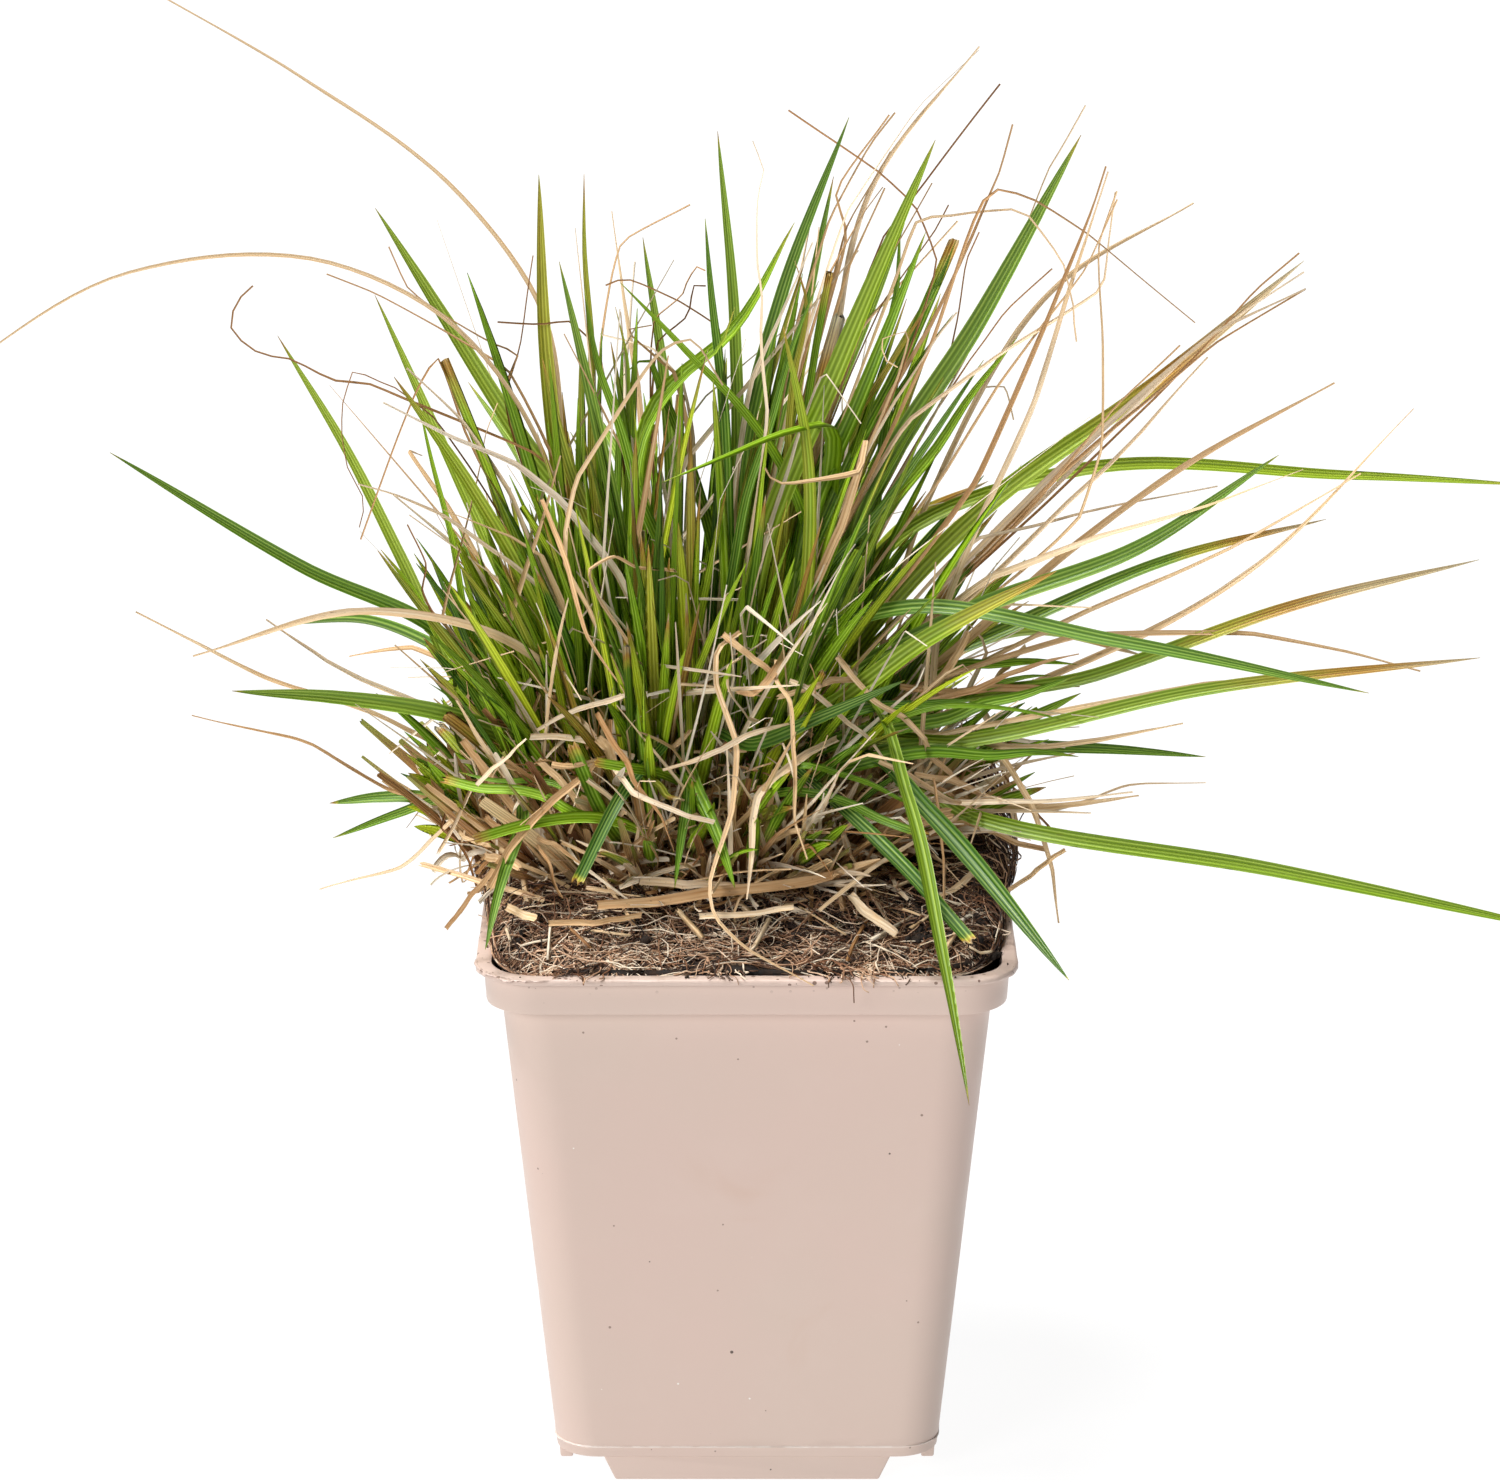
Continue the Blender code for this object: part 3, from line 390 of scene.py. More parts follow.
# Small green blades of the tuft that show on their own: width, yellowing and points
TUFT_BLADES = (
    (2.2, 0.0, (-2, 4, 118), (-3, 3, 150), (-4, 6, 181), (-6, 8, 199), (-7, 9, 211)),
    (2.8, 0.1, (-16, 6, 116), (-19, 8, 152), (-15, 12, 179), (-2, 14, 191), (8, 15, 209)),
    (3.0, 0.0, (6, 8, 120), (12, 8, 163), (19, 8, 180), (25, 10, 195), (30, 12, 208)),
    (1.8, 0.1, (-38, 6, 108), (-51, 4, 111), (-60, 4, 108), (-71, 3, 104)),
    (2.1, 0.05, (-14, -14, 109), (-25, -20, 115), (-36, -26, 116), (-45, -31, 115)),
    (2.6, 0.0, (-10, -8, 122), (-9, -20, 121), (-5, -30, 115), (-2, -36, 108)),
    (2.2, 0.0, (-12, -8, 124), (-10, -20, 120), (-11, -28, 114), (-12, -33, 107)),
    (3.3, 0.0, (9, 16, 140), (14, 9, 165), (14, 2, 177), (7, -8, 179), (-4, -18, 177),
     (-14, -24, 174)),
    (1.6, 0.2, (-38, 6, 124), (-52, 4, 139), (-56, 4, 147), (-62, 4, 155)),
    (2.6, 0.3, (-12, 2, 120), (-22, 0, 150), (-30, -2, 172), (-34, -4, 190)),
    (2.4, 0.25, (4, 0, 120), (10, -4, 150), (10, -6, 176), (6, -6, 196)),
    (1.9, 0.0, (14, 14, 130), (27, 16, 187), (33, 12, 201), (35, 10, 207)),
    (1.7, 0.45, (6, 12, 130), (17, 10, 174), (24, 8, 186), (31, 6, 198)),
    (1.2, 0.1, (-36, 10, 116), (-47, 6, 139), (-50, 3, 158), (-53, 2, 171), (-55, 0, 182)),
    (1.8, 0.3, (-34, 4, 114), (-49, 0, 138), (-56, -2, 148), (-62, -4, 157)),
    (1.5, 0.35, (-20, 6, 124), (-26, 4, 167), (-26, 3, 191), (-27, 2, 207), (-27, 2, 220)),
    (2.1, 0.0, (-4, 14, 130), (-10, 15, 168), (-15, 12, 182), (-17, 10, 187), (-20, 9, 185),
     (-22, 8, 183)),
    (1.8, 0.0, (12, 8, 140), (8, 8, 164), (-2, 4, 181), (-9, 1, 189), (-15, -1, 196), (-21, -4, 203)),
    (1.6, 0.15, (-14, -4, 124), (-19, -6, 160), (-16, -3, 179), (-9, 1, 187), (-5, 2, 190),
     (-2, 4, 197)),
    (1.5, 0.42, (4, 10, 140), (8, 10, 184), (10, 9, 197), (8, 8, 204)),
    (2.5, 0.08, (-20, -6, 106), (-22, -14, 110), (-25, -19, 117), (-27, -22, 123), (-29, -24, 129)),
    (1.9, 0.0, (-8, -10, 116), (-15, -20, 123), (-19, -24, 125), (-25, -27, 127)),
    (1.8, 0.02, (9, -22, 120), (13, -24, 120), (17, -25, 119), (22, -27, 117), (26, -29, 116),
     (30, -30, 115)),
    (1.3, 0.1, (12, -24, 125), (14, -23, 124), (21, -21, 121), (26, -20, 118), (33, -18, 115)),
    (2.0, 0.0, (22, -12, 132), (28, -11, 132), (34, -9, 132), (39, -8, 132)),
    (2.8, 0.02, (17, -10, 126), (27, -7, 127), (34, -6, 128), (40, -4, 130), (46, -3, 131),
     (56, 0, 134)),
    (3.2, 0.0, (26, -4, 122), (36, -1, 122), (45, 2, 124), (52, 4, 127), (57, 6, 129)),
    (2.6, 0.03, (21, -14, 123), (31, -12, 124), (41, -11, 123), (49, -9, 123), (56, -8, 122)),
    (2.2, 0.0, (34, 14, 130), (36, 15, 131), (42, 16, 131), (49, 18, 131), (57, 20, 130)),
    (1.8, 0.0, (40, 8, 129), (44, 9, 130), (48, 9, 131), (52, 10, 131)),
    (1.2, 0.0, (35, -18, 134), (42, -16, 133), (47, -15, 132), (54, -14, 130)),
    (1.9, 0.0, (-31, -20, 117), (-33, -19, 118), (-37, -18, 119), (-45, -16, 119), (-51, -14, 120)),
    (1.2, 0.1, (-30, -14, 118), (-33, -13, 119), (-37, -12, 119), (-42, -12, 119), (-49, -10, 120)),
    (2.2, 0.3, (-16, -22, 123), (-14, -24, 122), (-13, -26, 121), (-11, -28, 121)),
    (2.3, 0.1, (9, 8, 149), (15, 9, 163), (19, 10, 172), (25, 12, 183), (32, 13, 199), (35, 14, 206)),
    (1.5, 0.05, (9, 12, 159), (10, 12, 175), (12, 12, 190), (14, 12, 201)),
    (2.3, 0.0, (20, 12, 154), (26, 14, 162), (32, 16, 169), (38, 18, 178), (46, 20, 188)),
    (1.7, 0.0, (-2, 0, 154), (0, 1, 165), (4, 3, 177), (8, 5, 191), (12, 6, 201)),
    (1.9, 0.12, (12, 16, 155), (16, 17, 163), (23, 18, 174), (30, 19, 185), (35, 20, 192)),
    (1.5, 0.3, (9, 18, 154), (15, 19, 165), (23, 19, 181), (31, 20, 196)),
    (2.0, 0.0, (9, 18, 157), (13, 19, 167), (20, 20, 180), (25, 21, 193), (26, 22, 208)),
    (2.0, 0.02, (-14, -2, 156), (-18, -2, 166), (-21, -1, 177), (-25, -1, 189), (-27, 0, 201)),
    (1.2, 0.22, (-19, 2, 162), (-20, 3, 177), (-20, 3, 188), (-22, 4, 197)),
    (1.6, 0.0, (4, 20, 157), (9, 21, 170), (15, 22, 181), (21, 23, 191), (26, 24, 195)),
    (1.4, 0.35, (-1, 10, 160), (2, 11, 174), (5, 11, 187), (10, 12, 204)),
    (1.8, 0.05, (15, 8, 152), (23, 9, 161), (30, 10, 171), (40, 12, 186)),
)
CUT_TUFT_BLADES = {5, 21, 22, 23, 32, 34, 35, 36}

# Broken and curled straws that show in front of the tuft: width and points
LOOSE_STRAWS = (
    (1.2, (-12, -14, 156), (-18, -22, 159), (-22, -26, 162), (-26, -28, 160), (-24, -27, 155),
     (-18, -25, 145)),
    (1.1, (-1, -16, 146), (-5, -24, 145), (-5, -25, 140), (-1, -28, 130), (-2, -31, 120),
     (-6, -34, 107), (-5, -36, 103), (0, -40, 99), (11, -46, 94.5)),
    (1.2, (-4, -20, 147), (-1, -22, 145), (4, -22, 141)),
    (1.4, (6, -18, 144), (5, -22, 142), (1, -25, 138), (-2, -24, 138)),
    (1.1, (-1, -24, 144), (-3, -26, 143), (-3, -27, 140), (0, -24, 134), (2, -20, 132)),
    (1.1, (15, -16, 142), (21, -18, 135), (26, -17, 132), (30, -14, 127)),
    (1.2, (18, -16, 138), (14, -20, 139), (10, -22, 138), (5, -20, 136)),
    (1.2, (7, -24, 140), (10, -25, 139), (19, -22, 130), (25, -18, 122)),
    (0.8, (5, -18, 142), (5, -24, 140), (7, -27, 138), (8, -30, 128), (8, -31, 118), (10, -33, 112)),
    (1.0, (-14, -28, 126), (-4, -30, 130), (0, -29, 132), (9, -20, 132)),
    (1.1, (-25, -22, 134), (-22, -24, 129), (-14, -28, 118), (-12, -29, 112)),
    (1.0, (-22, -24, 125), (-19, -28, 122), (-10, -31, 119), (-6, -31, 118)),
    (1.4, (15, -14, 127), (10, -22, 127), (2, -28, 122), (1, -33, 113), (0, -36, 106)),
    (1.9, (-25, -27, 102), (-10, -29, 104), (2, -28, 105), (11, -25, 106), (27, -18, 108)),
    (1.6, (-18, -23, 105), (-10, -25, 105), (-2, -25, 105)),
    (1.0, (-20, -22, 137), (-31, -20, 133), (-35, -18, 130)),
    (1.0, (-34, -12, 168), (-31, -16, 162), (-26, -23, 148), (-20, -22, 137)),
    (1.1, (-8, -33, 102), (2, -34, 103), (8, -34, 104)),
    (1.1, (-33, -32, 100.5), (-24, -33, 101), (-18, -31, 101.5)),
    (1.7, (17, -28, 104), (20, -31, 102), (25, -34, 99.5)),
    (1.0, (26, -20, 107), (31, -27, 102), (32, -31, 99)),
    (1.2, (39, -12, 104), (36, -17, 102), (31, -21, 101)),
    (0.8, (12, -30, 102), (21, -26, 108), (34, -18, 114), (44, -10, 120)),
    (1.2, (-28, -12, 104), (-38, -12, 116), (-45, -10, 126), (-49, -8, 132)),
    (1.0, (-30, -18, 102), (-42, -16, 108), (-48, -12, 109), (-51, -8, 112)),
    (1.1, (-34, -22, 101), (-45, -18, 103), (-55, -12, 104)),
    (0.9, (-41, -20, 108), (-47, -18, 100), (-51, -16, 94)),
    (1.2, (28, -18, 122), (34, -13, 119), (40, -7, 115), (46, -2, 112)),
    (0.8, (27, -16, 120), (33, -11, 117), (38, -7, 114), (43, -2, 113)),
    (1.2, (33, -14, 112), (36, -12, 112), (41, -9, 109), (46, -7, 106), (51, -4, 104)),
    (1.5, (26, 6, 130), (33, 7, 129), (42, 8, 129), (48, 9, 129), (57, 10, 129)),
    (1.1, (30, -6, 131), (38, -5, 133), (44, -5, 136), (51, -4, 138), (56, -4, 139)),
    (1.5, (31, 2, 131), (35, 4, 135), (37, 5, 138), (38, 6, 140)),
    (1.0, (42, 20, 126), (45, 19, 130), (46, 18, 132), (48, 18, 134)),
    (1.1, (29, -14, 128), (31, -11, 123), (34, -10, 120), (37, -8, 117)),
    (1.1, (22, -20, 125), (28, -17, 121), (33, -15, 117), (38, -13, 114), (41, -12, 112)),
    (1.4, (41, 18, 122), (44, 19, 115), (45, 19, 109), (46, 20, 104), (47, 20, 100)),
    (0.5, (44, 16, 112), (46, 16, 109), (49, 16, 106), (54, 16, 100)),
    (0.9, (44, -16, 101), (48, -14, 103), (52, -11, 105), (54, -10, 106)),
    (0.6, (31, -20, 122), (32, -22, 117), (33, -24, 109), (33, -26, 103)),
    (0.8, (30, 2, 101), (33, -5, 101), (38, -17, 101)),
    (1.3, (14, -10, 104), (17, -7, 104), (21, -5, 104)),
    (0.8, (23, -6, 102), (25, -16, 102), (27, -24, 102)),
    (1.3, (-28, -24, 123), (-32, -25, 120), (-36, -26, 116), (-40, -27, 111), (-43, -28, 105)),
    (1.3, (-35, -16, 124), (-31, -17, 120), (-27, -18, 115)),
    (1.5, (-48, -8, 125), (-45, -9, 121), (-42, -10, 117), (-37, -12, 111)),
    (1.1, (-45, -4, 124), (-43, -5, 121), (-40, -7, 117), (-38, -8, 113)),
    (2.0, (-50, 6, 112), (-51, 5, 110), (-51, 4, 107)),
    (0.9, (-45, -24, 122), (-41, -21, 125), (-37, -18, 128)),
    (0.7, (-47, -8, 116), (-50, -12, 110), (-52, -14, 107)),
    (1.2, (-44, -16, 114), (-43, -16, 113), (-41, -16, 111)),
    (1.5, (-40, -28, 102), (-38, -31, 102), (-35, -34, 102)),
    (1.5, (-44, -16, 107), (-43, -17, 107), (-41, -18, 107), (-38, -20, 106)),
    (0.9, (-35, -24, 113), (-31, -25, 111), (-28, -26, 109)),
    (0.8, (-31, -24, 112), (-26, -25, 110), (-20, -26, 110)),
    (0.8, (-27, -21, 103), (-23, -23, 103), (-18, -25, 103)),
    (0.7, (-35, -22, 111), (-33, -24, 108), (-32, -25, 104), (-31, -26, 103)),
    (0.5, (-51, -6, 112), (-52, -7, 109), (-49, -9, 107), (-47, -11, 104), (-46, -12, 101)),
    (1.8, (-25, -20, 129), (-23, -20, 127), (-22, -20, 123)),
)


# Meshes

def unit(vectors):
    return vectors / np.maximum(np.linalg.norm(vectors, axis=-1, keepdims=True), 1e-9)


def xyz(x, y, z):
    return np.stack(np.broadcast_arrays(x, y, z), axis=-1)


def outward(angles):
    return xyz(np.cos(angles), np.sin(angles), 0.0)


def build_mesh(name, parts, look, nodes, sharp=None):
    """One object from parts of (points, faces as arrays of equal rows, values per point)."""
    points, loops, sizes, values, start = [], [], [], {}, 0
    for part_points, faces, part_values in parts:
        part_points = part_points.reshape(-1, 3)
        for rows in faces:
            loops.append(np.ravel(rows) + start)
            sizes.append(np.full(len(rows), rows.shape[1]))
        for key, numbers in part_values.items():
            values.setdefault(key, []).append(np.ravel(numbers))
        points.append(part_points)
        start += len(part_points)
    points, loops, sizes = np.concatenate(points), np.concatenate(loops), np.concatenate(sizes)
    mesh = bpy.data.meshes.new(name)
    mesh.vertices.add(len(points))
    mesh.vertices.foreach_set("co", np.ravel(points * MM).astype(np.float32))
    mesh.loops.add(len(loops))
    mesh.polygons.add(len(sizes))
    mesh.polygons.foreach_set("loop_start", (np.cumsum(sizes) - sizes).astype(np.int32))
    mesh.polygons.foreach_set("vertices", loops.astype(np.int32))
    for key, numbers in values.items():
        attribute = mesh.attributes.new(key, "FLOAT", "POINT")
        attribute.data.foreach_set("value", np.concatenate(numbers).astype(np.float32))
    mesh.update(calc_edges=True)
    mesh.shade_smooth()
    if sharp:
        mesh.set_sharp_from_angle(angle=math.radians(sharp))
    slot, material = LOOKS[look]
    mesh.materials.append(material)
    obj = new_object(name, mesh)
    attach(obj, "root")
    if nodes:
        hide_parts(*nodes)
    return obj


def new_object(name, data):
    obj = bpy.data.objects.new(name, data)
    bpy.context.scene.collection.objects.link(obj)
    return obj


def distance_run(points):
    return np.concatenate([[0.0], np.cumsum(np.linalg.norm(np.diff(points, axis=0), axis=1))])


def evenly_spaced(points, count):
    run = distance_run(points)
    wanted = np.linspace(0.0, run[-1], count)
    return np.column_stack([np.interp(wanted, run, points[:, axis]) for axis in range(3)])


def smooth_path(points, count):
    """Evenly spaced points along a smooth curve through the given points."""
    points = np.array(points, float)
    knots = distance_run(points)
    slopes = np.gradient(points, knots, axis=0)
    curve = [points[0]]
    for i, step in enumerate(np.diff(knots)):
        for t in np.linspace(0.0, 1.0, 13)[1:]:
            curve.append((1 + 2 * t) * (1 - t) ** 2 * points[i] + t * (1 - t) ** 2 * step * slopes[i]
                         + t * t * (3 - 2 * t) * points[i + 1] + t * t * (t - 1) * step * slopes[i + 1])
    return evenly_spaced(np.array(curve), count)


def bent_path(points, count):
    """The same through straight runs with sharp bends, as dry straw breaks."""
    return 0.7 * evenly_spaced(np.array(points, float), count) + 0.3 * smooth_path(points, count)


def carried(paths, side):
    """Ways across and up at each station, with the first side carried along each path."""
    tangents = unit(np.gradient(paths, axis=1))
    across = np.empty_like(paths)
    for k in range(paths.shape[1]):
        side = unit(side - np.sum(side * tangents[:, k], axis=1, keepdims=True) * tangents[:, k])
        across[:, k] = side
    return across, np.cross(across, tangents)


def closed_faces(shape, turned):
    """Faces of closed strands, for points by (strand, station, place round it)."""
    count, stations, ring = shape
    here = np.arange(ring)
    after = (here + 1) % ring
    starts = np.arange(count)[:, None] * stations * ring
    first = (starts + np.arange(stations - 1) * ring)[..., None]
    corners = [first + here, first + after, first + ring + after, first + ring + here]
    low, high = starts + here, starts + (stations - 1) * ring + here
    if turned:
        corners = [corners[k] for k in (0, 3, 2, 1)]
        high = high[:, ::-1]
    else:
        low = low[:, ::-1]
    return np.stack(corners, axis=-1).reshape(-1, 4), low, high


def rings_part(rings, turned=False):
    rings = np.array(rings)
    return rings, closed_faces((1, *rings.shape[:2]), turned), {}


def point_values(shape, values):
    """Every point's share of the length, and the given values per strand or per station."""
    out = {"along": np.broadcast_to(np.linspace(0.0, 1.0, shape[1])[:, None], shape)}
    for key, numbers in values.items():
        numbers = np.asarray(numbers, float)
        spread = numbers[..., None] if numbers.ndim == 2 else numbers[:, None, None]
        out[key] = np.broadcast_to(spread, shape)
    return out


def ribbons(paths, sides, widths, twists, tops, lift, depth, ribbing, **values):
    """Closed blades: paths (n, k, 3), first sides (n, 3), widths and twists (n, k).

    A blade's upper face has tops points across, lifted at the edges by lift widths, with every
    second point raised by ribbing widths. Its lower face lies depth widths under the middle.
    """
    across, up = carried(paths, sides)
    turn_cos, turn_sin = np.cos(twists)[..., None], np.sin(twists)[..., None]
    across, up = across * turn_cos + up * turn_sin, up * turn_cos - across * turn_sin
    under = np.linspace(1.0, -1.0, max(3, tops // 2 + 1))[1:-1]
    spots = np.concatenate([np.linspace(-1.0, 1.0, tops), under])
    heights = lift * np.abs(spots) ** 1.3
    heights[:tops] += ribbing * np.where(np.arange(tops) % 2, -1.0, 1.0)
    heights[tops:] -= depth * (1.0 - 0.6 * np.abs(under) ** 2)
    scale = widths[..., None, None]
    points = (paths[:, :, None] + 0.5 * scale * spots[:, None] * across[:, :, None]
              + scale * heights[:, None] * up[:, :, None])
    shape = points.shape[:3]
    marks = point_values(shape, values)
    marks["across"] = np.broadcast_to(spots, shape)
    return points, closed_faces(shape, False), marks


def tubes(paths, radii, sides, **values):
    """Closed round strands: paths (n, k, 3) and radii (n, k)."""
    start = np.cross(paths[:, 1] - paths[:, 0], UP + np.array([0.13, 0.07, 0.0]))
    across, up = carried(paths, unit(start))
    angles = (TURN * np.arange(sides) / sides)[:, None]
    points = paths[:, :, None] + radii[..., None, None] * (
        np.cos(angles) * across[:, :, None] + np.sin(angles) * up[:, :, None])
    shape = points.shape[:3]
    return points, closed_faces(shape, True), point_values(shape, values)


def growing_width(share, base):
    return base + (1 - base) * np.minimum(1.0, share / 0.3)


def point_width(share, base=0.72):
    """Share of the full width along a blade with a pointed tip."""
    return growing_width(share, base) * (1.0 - share ** 4.0) ** 0.8


def cut_width(share, base=0.72):
    """The same for a blade that was cut off square."""
    return growing_width(share, base) * (1.0 - 0.15 * share)


def wander(draw, shape, size, smooth):
    """Seeded wavering numbers along the second axis."""
    noise = draw.normal(0.0, 1.0, shape)
    level = noise[:, 0]
    out = np.empty(shape)
    for k in range(shape[1]):
        level = smooth * level + math.sqrt(1 - smooth * smooth) * noise[:, k]
        out[:, k] = level
    return size * out


def some_tones(draw, middle, spread, count):
    return np.clip(draw.normal(middle, spread, count), 0, 1)


# Nodes

class Nodes:
    """Short ways to add and join nodes of one tree."""

    def __init__(self, tree):
        self.tree = tree

    def add(self, kind, **settings):
        node = self.tree.nodes.new("ShaderNode" + kind)
        for key, value in settings.items():
            setattr(node, key, value)
        return node

    def put(self, socket, value):
        if isinstance(value, bpy.types.NodeSocket):
            self.tree.links.new(value, socket)
        elif isinstance(value, tuple) and socket.type == "RGBA":
            socket.default_value = (*value, 1.0)
        else:
            socket.default_value = value

    def fill(self, node, *values):
        for socket, value in zip(node.inputs, values):
            self.put(socket, value)
        return node.outputs[0]

    def named(self, node, **values):
        for name, value in values.items():
            self.put(node.inputs[name], value)
        return node.outputs

    def math(self, operation, *values):
        return self.fill(self.add("Math", operation=operation), *values)

    def times(self, one, other):
        return self.math("MULTIPLY", one, other)

    def swayed(self, value, mask, amount):
        """The value, moved up and down as the mask leaves its middle."""
        return self.math("MULTIPLY_ADD", self.math("SUBTRACT", mask, 0.5), amount, value)

    def mix(self, factor, one, other):
        node = self.add("Mix", data_type="RGBA")
        for number, value in ((0, factor), (6, one), (7, other)):
            self.put(node.inputs[number], value)
        return node.outputs[2]

    def span(self, value, low, high, to_low=0.0, to_high=1.0):
        node = self.add("MapRange", interpolation_type="SMOOTHSTEP")
        return self.fill(node, value, low, high, to_low, to_high)

    def attributes(self, *names):
        return [self.add("Attribute", attribute_name=name).outputs["Fac"] for name in names]

    def vector(self, x, y, z):
        return self.fill(self.add("CombineXYZ"), x, y, z)

    def noise(self, vector, scale, detail=2.0, roughness=0.5, distortion=0.0):
        return self.named(self.add("TexNoise"), Vector=vector, Scale=scale, Detail=detail,
                          Roughness=roughness, Distortion=distortion)["Fac"]

    def place(self):
        return self.add("TexCoord").outputs["Object"]

    def ramp(self, factor, *stops):
        node = self.add("ValToRGB")
        elements = node.color_ramp.elements
        while len(elements) < len(stops):
            elements.new(0.5)
        for element, (where, colour) in zip(elements, stops):
            element.position = where
            element.color = (*colour, 1.0)
        return self.fill(node, factor)

    def group(self, name, **values):
        return self.named(self.add("Group", node_tree=GROUPS[name]), **values)

    def bump(self, height, strength, distance):
        return self.named(self.add("Bump"), Strength=strength, Distance=distance, Height=height)[0]


def new_group(name, inputs, outputs):
    """An empty shader group with inputs of (name, kind, default) and outputs of (name, kind)."""
    tree = bpy.data.node_groups.new(name, "ShaderNodeTree")
    for label, kind, default in inputs:
        socket = tree.interface.new_socket(label, in_out="INPUT", socket_type="NodeSocket" + kind)
        if default is not None:
            socket.default_value = default
    for label, kind in outputs:
        tree.interface.new_socket(label, in_out="OUTPUT", socket_type="NodeSocket" + kind)
    source = tree.nodes.new("NodeGroupInput").outputs
    result = tree.nodes.new("NodeGroupOutput").inputs
    return tree, Nodes(tree), source, result


def rib_lines_group():
    """Lengthwise ribs of a grass blade, from the place across it."""
    tree, n, source, result = new_group("Rib lines", (("Across", "Float", 0.0), ("Ribs", "Float", 6.0)),
                                        (("Line", "Float"), ("Height", "Float")))
    phase = n.times(n.times(source["Across"], source["Ribs"]), math.pi)
    wave = n.math("MULTIPLY_ADD", n.math("COSINE", phase), 0.5, 0.5)
    n.put(result["Height"], wave)
    n.put(result["Line"], n.math("POWER", wave, 2.5))
    return tree


def streaks_group():
    """Long soft streaks, fine lines and small flecks of a blade, different on each."""
    tree, n, source, result = new_group(
        "Blade streaks", (("Across", "Float", 0.0), ("Along", "Float", 0.0), ("Tone", "Float", 0.0)),
        (("Streak", "Float"), ("Fleck", "Float"), ("Line", "Float")))
    shift = n.times(source["Tone"], 83.0)
    for name, wide, long, scale, detail, limits in (
            ("Streak", 2.4, 4.0, 1.0, 3.0, None), ("Fleck", 1.6, 46.0, 1.3, 1.0, (0.68, 0.76)),
            ("Line", 7.0, 3.0, 1.0, 1.0, (0.32, 0.68))):
        across = n.math("MULTIPLY_ADD", source["Across"], wide, shift)
        spot = n.vector(across, n.times(source["Along"], long), shift)
        noise = n.noise(spot, scale, detail)
        n.put(result[name], n.span(noise, *limits) if limits else noise)
    return tree


def ageing_group():
    """Turns a fresh blade's colour yellow, orange brown and then to bleached straw."""
    tree, n, source, result = new_group(
        "Ageing",
        (("Fresh", "Color", (0.1, 0.3, 0.03, 1.0)), ("Dry", "Float", 0.0), ("Streak", "Float", 0.5)),
        (("Colour", "Color"),))
    dry = n.swayed(source["Dry"], source["Streak"], 0.35)
    colour = source["Fresh"]
    for low, high, later in ((0.12, 0.40, (0.50, 0.46, 0.035)), (0.40, 0.58, (0.56, 0.27, 0.045)),
                             (0.60, 0.80, (0.66, 0.47, 0.27)), (0.86, 1.1, (0.80, 0.67, 0.49))):
        colour = n.mix(n.span(dry, low, high), colour, later)
    n.put(result["Colour"], colour)
    return tree


def specks_group():
    """Scattered small specks: a mask that is 1 on a speck."""
    tree, n, source, result = new_group(
        "Specks", (("Place", "Vector", None), ("Scale", "Float", 300.0), ("Share", "Float", 0.1),
                   ("Size", "Float", 0.15)), (("Mask", "Float"),))
    cells = n.named(n.add("TexVoronoi", feature="F1"), Vector=source["Place"], Scale=source["Scale"])
    pick = n.add("SeparateColor")
    n.put(pick.inputs[0], cells["Color"])
    kept = n.math("LESS_THAN", pick.outputs[0], source["Share"])
    size = n.times(source["Size"], n.math("ADD", pick.outputs[1], 0.3))
    n.put(result["Mask"], n.times(kept, n.math("LESS_THAN", cells["Distance"], size)))
    return tree


GROUPS = {
    "ribs": rib_lines_group(),
    "streaks": streaks_group(),
    "ageing": ageing_group(),
    "specks": specks_group(),
}


# Materials

def new_material(name, preview):
    material = bpy.data.materials.new(name)
    material.use_nodes = True
    material.diffuse_color = (*preview, 1.0)
    return material, Nodes(material.node_tree), material.node_tree.nodes["Principled BSDF"].inputs


def set_surface(n, shader, colour, normal, mask, smooth, rough):
    """Sets the colour and the normal, and a roughness between two values by a soft mask."""
    roughness = n.span(mask, 0.3, 0.7, smooth, rough)
    for name, value in (("Base Color", colour), ("Roughness", roughness), ("Normal", normal)):
        n.put(shader[name], value)


def blade_marks(n, ribs):
    """What each blade's material reads: across, along, tone, its streaks and its ribs."""
    across, along, tone = n.attributes("across", "along", "tone")
    streak = n.group("streaks", Across=across, Along=along, Tone=tone)
    return across, along, tone, streak, n.group("ribs", Across=across, Ribs=ribs)


def between_ribs(n, rib, amount, colour, shade):
    return n.mix(n.times(n.math("SUBTRACT", 1.0, rib["Height"]), amount), colour, shade)


